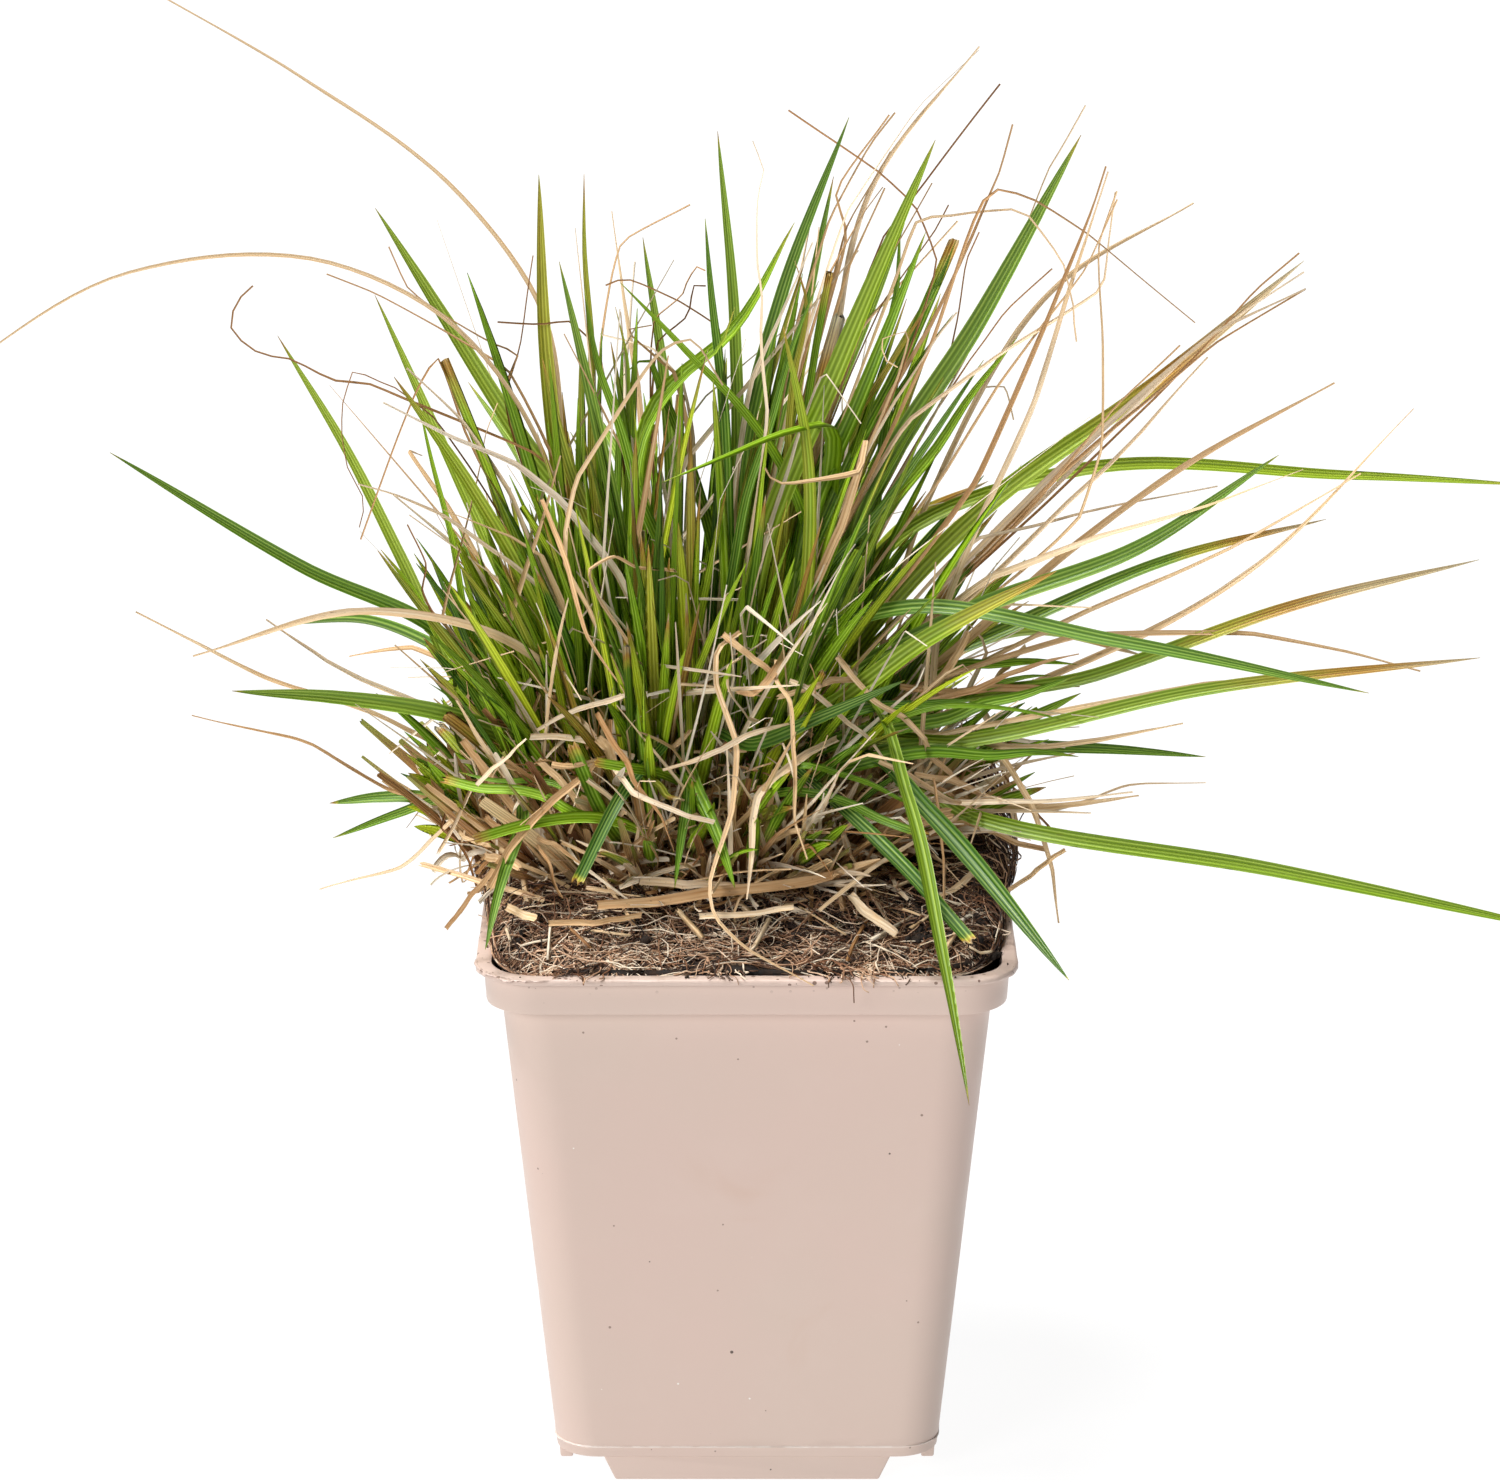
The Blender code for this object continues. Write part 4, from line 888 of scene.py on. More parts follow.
def blade_material(name, dark, middle, light, preview):
    """A living grass blade that yellows and dries by its own dry value."""
    material, n, shader = new_material(name, preview)
    _, along, tone, streak, rib = blade_marks(n, 4.0)
    dry, = n.attributes("dry")
    base = n.ramp(n.swayed(tone, streak["Streak"], 0.5), (0.0, dark), (0.5, middle), (1.0, light))
    base = n.mix(n.span(along, 0.03, 0.24, 0.75, 0.0), base, (0.52, 0.45, 0.10))
    base = n.group("ageing", Fresh=base, Dry=dry, Streak=streak["Streak"])["Colour"]
    veins = n.times(rib["Line"], n.math("MULTIPLY_ADD", streak["Line"], 0.6, 0.15))
    base = n.mix(veins, base, n.mix(0.55, base, (0.66, 0.80, 0.20)))
    base = between_ribs(n, rib, 0.42, base, (0.0, 0.02, 0.0))
    base = n.mix(n.times(streak["Fleck"], n.span(dry, 0.0, 0.5, 0.12, 0.35)), base, (0.16, 0.07, 0.02))
    normal = n.bump(rib["Height"], strength=0.5, distance=0.00015)
    set_surface(n, shader, base, normal, streak["Streak"], smooth=0.34, rough=0.50)
    shader["Specular IOR Level"].default_value = 0.35
    return material


def straw_material(preview):
    """A dead blade: cream, tan or brown by its tone, with fine lengthwise lines."""
    material, n, shader = new_material("straw", preview)
    across, _, tone, streak, rib = blade_marks(n, 2.0)
    base = n.ramp(n.swayed(tone, streak["Streak"], 0.8), (0.0, (0.14, 0.055, 0.020)),
                  (0.22, (0.52, 0.28, 0.11)), (0.58, (0.88, 0.65, 0.37)), (1.0, (1.0, 0.94, 0.78)))
    base = between_ribs(n, rib, 0.25, base, (0.34, 0.15, 0.05))
    base = n.mix(n.times(streak["Line"], 0.5), base, n.mix(0.55, base, (0.36, 0.17, 0.05)))
    # Darker along both edges: partly the straw's own brown margins and partly painted shade at its edges.
    base = n.mix(n.span(n.math("ABSOLUTE", across), 0.7, 1.0, 0.0, 0.35), base, (0.26, 0.12, 0.045))
    base = n.mix(n.times(streak["Fleck"], 0.5), base, (0.16, 0.07, 0.03))
    normal = n.bump(rib["Height"], strength=0.4, distance=0.0001)
    set_surface(n, shader, base, normal, streak["Streak"], smooth=0.55, rough=0.8)
    shader["Specular IOR Level"].default_value = 0.3
    return material


def sheath_material(preview):
    """Papery sheaths round the foot of each shoot, brown below and green where the blades leave."""
    material, n, shader = new_material("sheath", preview)
    _, along, tone, streak, rib = blade_marks(n, 5.0)
    low = n.ramp(n.swayed(tone, streak["Streak"], 0.8), (0.0, (0.17, 0.06, 0.015)),
                 (0.45, (0.56, 0.29, 0.095)), (1.0, (0.98, 0.74, 0.40)))
    high = n.mix(tone, (0.24, 0.40, 0.04), (0.46, 0.48, 0.09))
    base = n.mix(n.span(n.math("ADD", along, n.times(streak["Streak"], 0.4)), 0.78, 1.35), low, high)
    # Near black towards the foot: partly the sheath's own brown, partly painted shade deep in the crown.
    base = n.mix(n.span(along, 0.0, 0.35, 0.75, 0.0), base, (0.09, 0.040, 0.018))
    base = between_ribs(n, rib, 0.25, base, (0.15, 0.08, 0.035))
    base = n.mix(n.times(streak["Line"], 0.55), base, n.mix(0.6, base, (0.20, 0.09, 0.03)))
    normal = n.bump(rib["Height"], strength=0.5, distance=0.0002)
    set_surface(n, shader, base, normal, streak["Streak"], smooth=0.5, rough=0.75)
    return material


def fibre_material(preview):
    """Single root fibres, cream to dark brown by their tone."""
    material, n, shader = new_material("root_fibres", preview)
    along, tone = n.attributes("along", "tone")
    place = n.place()
    blotch = n.noise(place, scale=260.0)
    base = n.ramp(n.swayed(tone, blotch, 0.7), (0.0, (0.030, 0.013, 0.007)), (0.35, (0.24, 0.101, 0.044)),
                  (0.7, (0.66, 0.41, 0.25)), (1.0, (0.97, 0.82, 0.63)))
    base = n.mix(n.span(along, 0.8, 1.0, 0.0, 0.3), base, (0.2, 0.11, 0.06))
    normal = n.bump(n.noise(place, scale=5200.0, detail=1.0), strength=0.25, distance=0.00005)
    set_surface(n, shader, base, normal, blotch, smooth=0.62, rough=0.85)
    return material


def earth_material(name, dark, light, preview):
    """Dark peaty soil with light specks of fibre and grit."""
    material, n, shader = new_material(name, preview)
    place = n.place()
    lumps = n.noise(place, scale=520.0, detail=5.0, roughness=0.65)
    grit = n.group("specks", Place=place, Scale=900.0, Share=0.06, Size=0.5)["Mask"]
    base = n.mix(n.times(grit, 0.6), n.mix(n.span(lumps, 0.35, 0.75), dark, light), (0.34, 0.22, 0.13))
    grain = n.noise(place, scale=1500.0, detail=4.0, roughness=0.7)
    set_surface(n, shader, base, n.bump(grain, strength=0.9, distance=0.0004), lumps, smooth=0.75, rough=0.98)
    return material


def pot_material(preview):
    """Satin moulded plastic, unevenly coloured, with dirt specks, stains and a pale parting line."""
    material, n, shader = new_material("pot_plastic", preview)
    place = n.place()
    mottle = n.noise(place, scale=75.0, detail=4.0, roughness=0.6)
    cloud = n.span(n.noise(place, scale=22.0, detail=3.0, roughness=0.55), 0.35, 0.65)
    base = n.mix(cloud, (0.672, 0.507, 0.438), (0.656, 0.511, 0.437))
    base = n.mix(n.span(mottle, 0.45, 0.8, 0.0, 0.30), base, (0.70, 0.550, 0.480))
    stain = n.noise(place, scale=34.0, detail=4.0, roughness=0.6, distortion=0.6)
    base = n.mix(n.times(n.span(stain, 0.62, 0.76), 0.3), base, (0.60, 0.40, 0.30))
    spread = n.add("SeparateXYZ")
    n.put(spread.inputs[0], place)
    height = spread.outputs[2]
    near_seam = n.math("ABSOLUTE", n.math("SUBTRACT", height, SEAM_HEIGHT * MM))
    broken = n.span(n.noise(place, scale=420.0), 0.35, 0.62, 0.45, 1.0)
    seam = n.times(n.span(near_seam, 0.00008, 0.00026, 1.0, 0.0), broken)
    base = n.mix(n.times(seam, 0.75), base, (0.86, 0.78, 0.72))
    near_rim = n.span(height, 0.0915, 0.0948, 0.0, 0.85)
    # Brown dirt, dark grit, pale specks, and fine dirt near the rim
    for scale, share, size, strength, colour in (
            (230.0, 0.95, 0.047, 0.7, (0.16, 0.09, 0.06)),
            (95.0, 0.8, 0.027, 0.9, (0.06, 0.035, 0.025)),
            (240.0, 0.20, 0.04, 0.8, (0.90, 0.86, 0.82)),
            (1000.0, 0.20, 0.30, near_rim, (0.14, 0.07, 0.045))):
        speck = n.group("specks", Place=place, Scale=scale, Share=share, Size=size)["Mask"]
        base = n.mix(n.times(speck, strength), base, colour)
    patches = n.span(n.noise(place, scale=160.0, detail=4.0, roughness=0.7), 0.45, 0.7)
    grime = n.times(n.span(height, 0.0938, 0.0951), patches)
    base = n.mix(n.times(grime, 0.55), base, (0.30, 0.19, 0.13))
    unevenness = n.times(n.noise(place, scale=120.0, detail=3.0), 1.6)
    grain = n.math("ADD", n.noise(place, scale=2600.0), unevenness)
    normal = n.bump(grain, strength=0.12, distance=0.00012)
    set_surface(n, shader, base, normal, mottle, smooth=0.34, rough=0.46)
    return material


# Each look's slot of the CAD and its material
LOOKS = {
    "pot": ("pot_plastic", pot_material((0.68, 0.53, 0.46))),
    "earth": ("compost", earth_material("compost", (0.012, 0.008, 0.006), (0.060, 0.038, 0.026),
                                        (0.024, 0.015, 0.010))),
    # The felt's near-black colours are partly its own and partly painted shade in the gaps between the
    # fibres.
    "felt": ("roots", earth_material("root_felt", (0.010, 0.006, 0.004), (0.050, 0.026, 0.015),
                                     (0.30, 0.20, 0.13))),
    "fibres": ("roots", fibre_material((0.35, 0.24, 0.15))),
    "green": ("leaf_green", blade_material("leaf_green", (0.045, 0.140, 0.010), (0.160, 0.330, 0.020),
                                           (0.430, 0.580, 0.050), (0.07, 0.21, 0.03))),
    "lime": ("leaf_lime", blade_material("leaf_lime", (0.180, 0.320, 0.006), (0.340, 0.490, 0.015),
                                         (0.600, 0.690, 0.040), (0.22, 0.34, 0.04))),
    "tuft": ("crown", blade_material("tuft_green", (0.066, 0.205, 0.003), (0.325, 0.580, 0.003),
                                     (0.720, 0.840, 0.020), (0.32, 0.27, 0.10))),
    "straw": ("straw", straw_material((0.5, 0.36, 0.22))),
    "sheath": ("crown", sheath_material((0.42, 0.27, 0.13))),
}


# Pot

def quarter_turned(points, quarters):
    for _ in range(quarters):
        points = points[..., [1, 0, 2]] * np.array([-1, 1, 1])
    return points


def rounded_square(half, radius, z):
    """Ring points round a square with round corners, with points along its sides too."""
    arc = np.radians(np.linspace(0, 90, 13))
    flat = half - radius
    corner = xyz(flat + radius * np.cos(arc), flat + radius * np.sin(arc), z)
    side = xyz(flat * (1 - np.arange(1, 16) / 8), half, z)
    return np.vstack([quarter_turned(np.vstack([corner, side]), quarters) for quarters in range(4)])


def make_pot(draw):
    wall = [WALL_FOOT + (WALL_NECK - WALL_FOOT) * share for share in np.linspace(0.02, 0.99, WALL_RINGS)]
    rings = []
    for half, radius, z in FOOT_RINGS + wall + LIP_RINGS:
        ring = rounded_square(half, radius, z)
        count = len(ring)
        wave = WALL_WAVE * np.sin(np.linspace(0, TURN, count, endpoint=False) * 4 + 0.6)
        at_seam = abs(z - SEAM_HEIGHT) < 0.1
        at_lip = z > LIP_EDGE_HEIGHT and half > LIP_EDGE_HALF
        rough = SEAM_ROUGHNESS * at_seam + LIP_ROUGHNESS * at_lip
        wobble = wave * min(1.0, z / WALL_WAVE_HEIGHT) + draw.normal(0.0, 1.0, count) * rough
        ring[:, :2] += unit(ring[:, :2]) * wobble[:, None]
        rings.append(ring)
    pot = build_mesh("pot_moulding", [rings_part(rings)], "pot", ["pot"])
    feet = build_mesh("feet", [foot_part(side) for side in range(4)], "pot", [])
    bevel = feet.modifiers.new("rounding", "BEVEL")
    bevel.width = FOOT_ROUNDING * MM
    bevel.segments = 3
    holes = build_mesh("holes", [hole_part(*place) for place in DRAIN_HOLES], "pot", [])
    for other, operation in ((feet, "UNION"), (holes, "DIFFERENCE")):
        modifier = pot.modifiers.new(other.name, "BOOLEAN")
        modifier.operation = operation
        modifier.object = other
    graph = bpy.context.evaluated_depsgraph_get()
    mesh = bpy.data.meshes.new_from_object(pot.evaluated_get(graph))
    pot.modifiers.clear()
    pot.data = mesh
    mesh.shade_smooth()
    mesh.set_sharp_from_angle(angle=math.radians(POT_SHARP))
    for helper in (feet, holes):
        bpy.data.objects.remove(helper)


def foot_part(side):
    corners = []
    for z, outer, half_length in FOOT_LEVELS:
        inner = outer - FOOT_THICKNESS
        corners += [(-half_length, -outer, z), (half_length, -outer, z),
                    (half_length, -inner, z), (-half_length, -inner, z)]
    faces = np.array([(3, 2, 1, 0), (4, 5, 6, 7), (0, 1, 5, 4), (1, 2, 6, 5), (2, 3, 7, 6), (3, 0, 4, 7)])
    return quarter_turned(np.array(corners), side), (faces,), {}


def hole_part(x, y, radius):
    angles = np.linspace(0, TURN, 28, endpoint=False)
    return rings_part([(x, y, z) + radius * outward(angles) for z in HOLE_LEVELS])


def make_flash(draw):
    """The ragged thin flash left on the lip at the front left corner."""
    count = 46
    out = outward(np.radians(np.linspace(*FLASH_DEGREES, count)))[:, :2]
    swell = np.sin(np.linspace(0.05, math.pi - 0.05, count))
    reach = 0.15 + np.abs(wander(draw, (1, count), size=0.5, smooth=0.55))[0] * swell
    rings = []
    for way, far in zip(out, reach):
        edge = LIP_CORNER + LIP_CORNER_RADIUS * way
        inner, outer = edge - 0.5 * way, edge + far * way
        sag = 0.3 * draw.uniform(-1.0, 1.0) * far
        rings.append([(*inner, FLASH_TOP), (*outer, FLASH_TOP + sag),
                      (*outer, FLASH_UNDER + sag), (*inner, FLASH_ROOT)])
    build_mesh("lip_flash", [rings_part(rings, True)], "pot", ["pot"])


# Compost and roots

def squareness(x, y):
    return (np.abs(x) ** SQUARE_POWER + np.abs(y) ** SQUARE_POWER) ** (1 / SQUARE_POWER)


def compost_height(x, y):
    return COMPOST_EDGE + COMPOST_RISE * (1.0 - (squareness(x, y) / COMPOST_HALF) ** 2)


def leaning(angle, towards, power):
    return np.maximum(0.0, np.cos(angle - math.radians(towards))) ** power


def mat_reach(angle):
    """How far the root felt bulges past the lip's inner edge, by direction, with its dents."""
    reach = MAT_BULGE
    for amount, towards, power in MAT_BULGES:
        reach = reach + amount * leaning(angle, towards, power)
    for depth, towards, width in MAT_DENTS:
        reach = reach - depth * np.exp((np.cos(angle - towards) - 1.0) / width)
    return reach


def bell(x, y, centre, spread):
    return np.exp(-((x - centre[0]) ** 2 + (y - centre[1]) ** 2) / (2 * spread ** 2))


def mat_height(x, y):
    slope = np.clip((MAT_SLOPE_START - y) / (MAT_SLOPE_START - MAT_SLOPE_END), 0.0, 1.0)
    lump = MAT_LUMP_HEIGHT * bell(x, y, MAT_LUMP_CENTRE, MAT_LUMP_SPREAD)
    return MAT_TOP + (MAT_FRONT_EDGE - MAT_TOP) * slope + lump


def in_front(y):
    """Rises from 0 to 1 over the last stretch of felt before the pot's front rim."""
    return np.clip((-y - FRONT_START) / FRONT_LENGTH, 0.0, 1.0)


def hollow_rise(x, y):
    """How far the felt arches up over the dark hollow behind the front rim."""
    swell = np.exp(-((x - HOLLOW_MIDDLE) / HOLLOW_WIDTH) ** 2)
    return HOLLOW_RISE * swell * np.clip((-y - HOLLOW_START) / HOLLOW_LENGTH, 0.0, 1.0)


def felt_height(x, y):
    """Height of the felt's skin: its top, rounded down to the lip near its edge and into it in front."""
    edge = LIP_INNER_HALF - 0.8 + mat_reach(np.arctan2(y, x))
    fall = np.clip((squareness(x, y) - (edge - 6.0)) / 6.0, 0.0, 1.0)
    low = POT_HEIGHT + 0.6 - 1.8 * in_front(y) + hollow_rise(x, y)
    return low + (mat_height(x, y) - low) * np.sqrt(np.maximum(0.0, 1.0 - fall ** 2))


def corner_reach(edge, angle):
    """How far out from the middle a square with round corners lies in a direction."""
    return np.minimum(edge / squareness(np.cos(angle), np.sin(angle)), 1.19 * edge)


def skin_plan(columns, rings, edge_of):
    """Plan points of rings from the middle out to the edge."""
    angles = np.linspace(0, TURN, columns, endpoint=False)
    reach = np.linspace(0.0, 1.0, rings + 1)[1:, None] * corner_reach(edge_of(angles), angles)
    return reach * np.cos(angles), reach * np.sin(angles)


def skin_part(x, y, z, lower):
    """A closed body from the rings of its skin, and smaller copies of the last ring below."""
    levels = [xyz(x, y, z)] + [xyz(x[-1:] * shrink, y[-1:] * shrink, level) for shrink, level in lower]
    return rings_part(np.concatenate(levels), True)


def make_compost(draw):
    """The compost's crumbly skin and its body down to the pot's floor."""
    x, y = skin_plan(150, 40, lambda angle: np.full_like(angle, COMPOST_HALF))
    z = compost_height(x, y) + draw.normal(0.0, 0.35, x.shape)
    z[-1] = COMPOST_EDGE - 0.6
    lower = [(half / COMPOST_HALF, level) for half, level in COMPOST_LOWER]
    build_mesh("compost_body", [skin_part(x, y, z, lower)], "earth", ["compost"])


def make_felt(draw):
    """The felt's dark body under its loose fibres, near black: partly its own peat colour, partly painted
    shade between them.
    """
    x, y = skin_plan(170, 46, lambda angle: LIP_INNER_HALF - 1.1 + mat_reach(angle))
    z = felt_height(x, y) - 1.3 + draw.normal(0.0, 0.4, x.shape)
    rim = squareness(x[-1:], y[-1:])
    lower = [(half / rim, level) for half, level in FELT_LOWER]
    build_mesh("root_felt", [skin_part(x, y, z, lower)], "felt", ["root_mat"])


def grain_shape():
    """Corners and faces of a rough round grain with twenty sides."""
    corners = unit(np.array([np.roll((0, one, GOLDEN_RATIO * other), -turn)
                             for turn in range(3) for one in (1, -1) for other in (1, -1)]))
    faces = []
    for a, b, c in itertools.combinations(range(12), 3):
        first, second, third = corners[[a, b, c]]
        if np.linalg.norm([first - second, first - third, second - third], axis=1).max() < 1.1:
            outside = np.dot(np.cross(second - first, third - first), first) > 0
            faces.append((a, b, c) if outside else (a, c, b))
    return corners, np.array(faces)


def grains(draw, shape, places, sizes):
    """Small uneven lumps of soil."""
    corners, faces = shape
    count = len(places)
    shapes = corners[None] * (1.0 + draw.normal(0.0, 0.22, (count, 12, 1)))
    points = places[:, None] + 0.5 * sizes[:, None, None] * shapes * draw.uniform(0.6, 1.4, (count, 1, 3))
    return points, ((faces[None] + 12 * np.arange(count)[:, None, None]).reshape(-1, 3),), {}


def make_crumbs(draw):
    """Crumbs of compost on its skin, on the felt and on the pot's rim."""
    count, on_rim = 1500, 36
    shape = grain_shape()
    side = draw.choice(3, count, p=(0.4, 0.35, 0.25))
    x = np.where(side == 0, draw.uniform(-40, 40, count),
                 np.where(side == 1, draw.uniform(26, 42, count), draw.uniform(-40, 40, count)))
    y = np.where(side == 0, draw.uniform(-42, -37, count), draw.uniform(-34, 40, count))
    top = np.where(side == 0, compost_height(x, y), felt_height(x, y) + 0.1)
    sizes = draw.uniform(0.5, 1.9, count) ** 1.3 * 0.8
    parts = [grains(draw, shape, xyz(x, y, top + 0.1 * sizes), sizes)]
    turn = draw.uniform(0, 4, on_rim)
    run = draw.uniform(-38, 38, on_rim)
    out = draw.uniform(42.9, 44.6, on_rim) * np.where(turn < 2.4, -1.0, 1.0)
    along_x = (turn < 1.8) | (turn > 3.4)
    sizes = draw.uniform(0.15, 0.5, on_rim)
    places = xyz(np.where(along_x, run, out), np.where(along_x, out, run), POT_HEIGHT + 0.35 * sizes)
    parts.append(grains(draw, shape, places, sizes))
    build_mesh("compost_crumbs", parts, "earth", ["compost"])


def scattered(draw, count, locks):
    """Fibres that lie every way over the felt in loose locks: starts, headings and tones."""
    x, y = draw.uniform(-46.5, 47.5, locks), draw.uniform(-42.5, 45.0, locks)
    patch = np.sin(0.33 * x + 1.1 * np.sin(0.21 * y)) * np.sin(0.41 * y + 0.9 * np.sin(0.27 * x) + 0.8)
    share = np.where(patch > -0.15, 1.0, 0.22)
    pick = draw.choice(locks, count, p=share / share.sum())
    x = x[pick] + draw.normal(0.0, 2.0, count)
    y = y[pick] + draw.normal(0.0, 2.0, count)
    heading = draw.uniform(0, TURN, locks)[pick] + draw.normal(0.0, 0.9, count)
    return x, y, heading, draw.normal(0.0, 0.15, locks)[pick]


def along_rim(draw, count):
    """The same for fibres that follow the pot's rim, most of them in front."""
    turn = (draw.choice(4, count, p=(0.55, 0.15, 0.15, 0.15)) - 1) * math.pi / 2
    run = draw.uniform(-46.0, 44.0, count)
    inward = 41.8 - 12.0 * draw.uniform(0, 1, count) ** 1.5
    x = np.cos(turn) * inward - np.sin(turn) * run
    y = np.sin(turn) * inward + np.cos(turn) * run
    heading = turn + math.pi / 2 + draw.normal(0.0, 0.30, count) + math.pi * draw.integers(0, 2, count)
    return x, y, heading, np.full(count, 0.06)


def fibre_paths(draw, x, y, heading, stations, lengths, height, curl):
    """Curly fibres that lie on the felt, over one another, and arch off it here and there."""
    count = len(x)
    bend = draw.normal(0.0, curl * 0.5, (count, 1)) + wander(draw, (count, stations), curl * 2.2, 0.55)
    headings = heading[:, None] + np.cumsum(bend, axis=1)
    step = (lengths / stations)[:, None]
    x = x[:, None] + np.cumsum(np.cos(headings) * step, axis=1)
    y = y[:, None] + np.cumsum(np.sin(headings) * step, axis=1)
    edge = LIP_INNER_HALF - 0.3 + mat_reach(np.arctan2(y, x))
    edge = edge + 0.8 * draw.uniform(0, 1, (count, 1)) ** 3
    pull = np.minimum(1.0, edge / np.maximum(squareness(x, y), 1e-6))
    x, y = x * pull, y * pull
    heap = ROOT_HEAP_HEIGHT * bell(x, y, ROOT_HEAP, ROOT_HEAP_SPREAD)
    lie = np.abs(draw.normal(0.0, 1.0, (count, 1))) * (height + heap)
    arch = draw.uniform(0, 1, (count, 1)) ** 3 * 3.0 * np.sin(math.pi * np.linspace(0, 1, stations))
    front = in_front(y)
    z = felt_height(x, y) - 0.7 + (lie + arch) * (1.0 - 0.75 * front)
    z += wander(draw, (count, stations), 0.40, 0.6) * (1.0 - 0.5 * front)
    return xyz(x, y, np.maximum(z, POT_HEIGHT + 0.25 - 1.2 * front))


def fibre_tones(draw, paths, lift=0.0):
    """Pale in front and on the left, darker on the right and at the back."""
    x, y = paths[:, 0, 0], paths[:, 0, 1]
    dark = np.clip((x - 12) / 26, 0, 1) * np.clip((y + 34) / 24, 0, 1)
    return np.clip(draw.normal(0.39, 0.42, len(x)) - 0.32 * dark + lift, 0, 1)


def make_fibres(draw, name, starts, stations, radius, shortest, longest, height, curl, lift):
    x, y, heading, lock_tones = starts
    count = len(x)
    lengths = draw.uniform(shortest, longest, count)
    paths = fibre_paths(draw, x, y, heading, stations, lengths, height, curl)
    tones = fibre_tones(draw, paths, lock_tones + lift)
    middle = paths[:, stations // 2, 0]
    in_gap = (middle > GAP_LEFT) & (middle < GAP_RIGHT) & (np.min(paths[..., 1], axis=1) < GAP_BACK)
    kept = ~in_gap | (draw.uniform(0, 1, count) < SHARE_ACROSS_GAP)
    taper = 1.0 - 0.55 * np.linspace(0, 1, stations) ** 2
    radii = radius * draw.uniform(0.5, 1.7, (count, 1)) * taper
    build_mesh(name, [tubes(paths[kept], radii[kept], 3, tone=tones[kept])], "fibres", ["root_mat"])


def make_hanging_fibres(draw):
    """Loose ends that hang over the lip or curl out past the rim."""
    paths = []
    for number in range(LOOSE_ENDS):
        over_lip = number < ENDS_OVER_LIP
        angle = draw.choice([draw.uniform(*side) for side in LOOSE_END_SIDES])
        if over_lip:
            angle = draw.choice(OVER_LIP_ANGLES) + draw.normal(0.0, 0.05)
        out = outward(angle)
        x, y, _ = out * corner_reach(LIP_INNER_HALF - 1.5 + mat_reach(angle), angle)
        z = felt_height(x * 0.95, y * 0.95) - draw.uniform(0.2, 2.0)
        way = out + (0, 0, draw.uniform(-0.4, 0.7))
        place = np.array([x, y, max(z, POT_HEIGHT + 0.3)]) - (1.5 if over_lip else 4.0) * out
        push = (0.25 * out - (0, 0, 0.32)) if over_lip else np.array([0, 0, -0.12])
        points = [place]
        for _ in range(8):
            way = unit(way + (0.5 if over_lip else 0.75) * draw.normal(0.0, 1.0, 3) + push)
            place = place + draw.uniform(0.7, 1.7) * way
            if squareness(place[0], place[1]) < 45.3:
                place[2] = max(place[2], POT_HEIGHT + 0.3)
            points.append(place)
        paths.append(smooth_path(points, 22))
    paths = np.array(paths)
    paths[..., :2] = np.clip(paths[..., :2], -LOOSE_END_REACH, LOOSE_END_REACH)
    radii = 0.11 * draw.uniform(0.7, 1.4, len(paths))[:, None] * np.ones(22)
    part = tubes(paths, radii, 4, tone=fibre_tones(draw, paths))
    build_mesh("loose_root_ends", [part], "fibres", ["root_mat"])


# Blades

def stem_path(cell, passes, count, depth):
    """A blade's path from down in the crown, out through its root and its other points."""
    azimuth, rise = np.radians(cell)
    root = CROWN_CENTRE + CROWN_RADII * (outward(azimuth) * math.cos(rise) + UP * math.sin(rise))
    way = unit(root - (CROWN_CENTRE - CROWN_FOCUS_DEPTH * UP))
    start = root + LEAF_START * way
    foot = [start - depth * way * share for share in (1.0, 0.66, 0.33)]
    return np.vstack([foot, smooth_path([start, start + LEAF_STRAIGHT * way, *passes], count)])


def side_of(path, facing):
    side = np.cross(unit(path[-1] - path[0]), facing)
    return unit(side) if np.linalg.norm(side) >= 0.2 else np.array([1.0, 0.0, 0.0])


def one_ribbon(path, facing, widths, twist, **form):
    return ribbons(path[None], side_of(path, facing)[None], widths[None], twist[None], **form)


def make_leaf(draw, number, width, cell, *passes):
    path = stem_path(cell, passes, count=46, depth=12.0)
    share = np.linspace(0.0, 1.0, len(path))
    cut = number in CUT_LEAVES
    taper = cut_width(share) if cut else point_width(share)
    if number in LATE_LEAVES:
        taper = taper * (0.45 + 0.55 * np.minimum(1.0, share / 0.6))
    uneven = wander(draw, (1, len(path)), size=0.012, smooth=0.8)[0]
    widths = np.maximum(width * taper * (1.0 + uneven), 0.09)
    twist = draw.uniform(-0.35, 0.35) * (share - 0.3) + 0.08 * np.sin(6 * share + draw.uniform(0, 6))
    yellow, start, end = LEAF_AGE.get(number, (0.0, draw.uniform(0.93, 0.985), draw.uniform(0.3, 0.8)))
    dry = yellow + (end - yellow) * np.clip((share - start) / (1.0 - start), 0, 1) ** 0.7
    facing = FRONT if number < FIRST_BACK_LEAF else BACK
    tone = draw.uniform(0.25, 0.75) + LEAF_TONES.get(number, 0.0)
    part = one_ribbon(path, facing, widths, twist, tops=9, lift=0.24, depth=0.075, ribbing=0.02,
                      tone=[tone], dry=dry[None])
    if cut:
        fray(draw, part)
    name = f"leaf_{number:02d}"
    build_mesh(name + "_blade", [part], "lime" if number in LIME_LEAVES else "green", [name], LEAF_SHARP)


def fray(draw, part, chosen=slice(None)):
    """Tears the ends of the chosen blades of a part unevenly."""
    points, _, values = part
    ends = points[chosen]
    across = values["across"][chosen][:, -1]
    tears = sum(size * np.sin(pace * across + draw.uniform(0, TURN, (len(ends), 1)))
                for size, pace in ((0.45, 6.0), (0.3, 13.0)))
    ends[:, -1] += unit(ends[:, -1] - ends[:, -2]) * tears[..., None]
    points[chosen] = ends


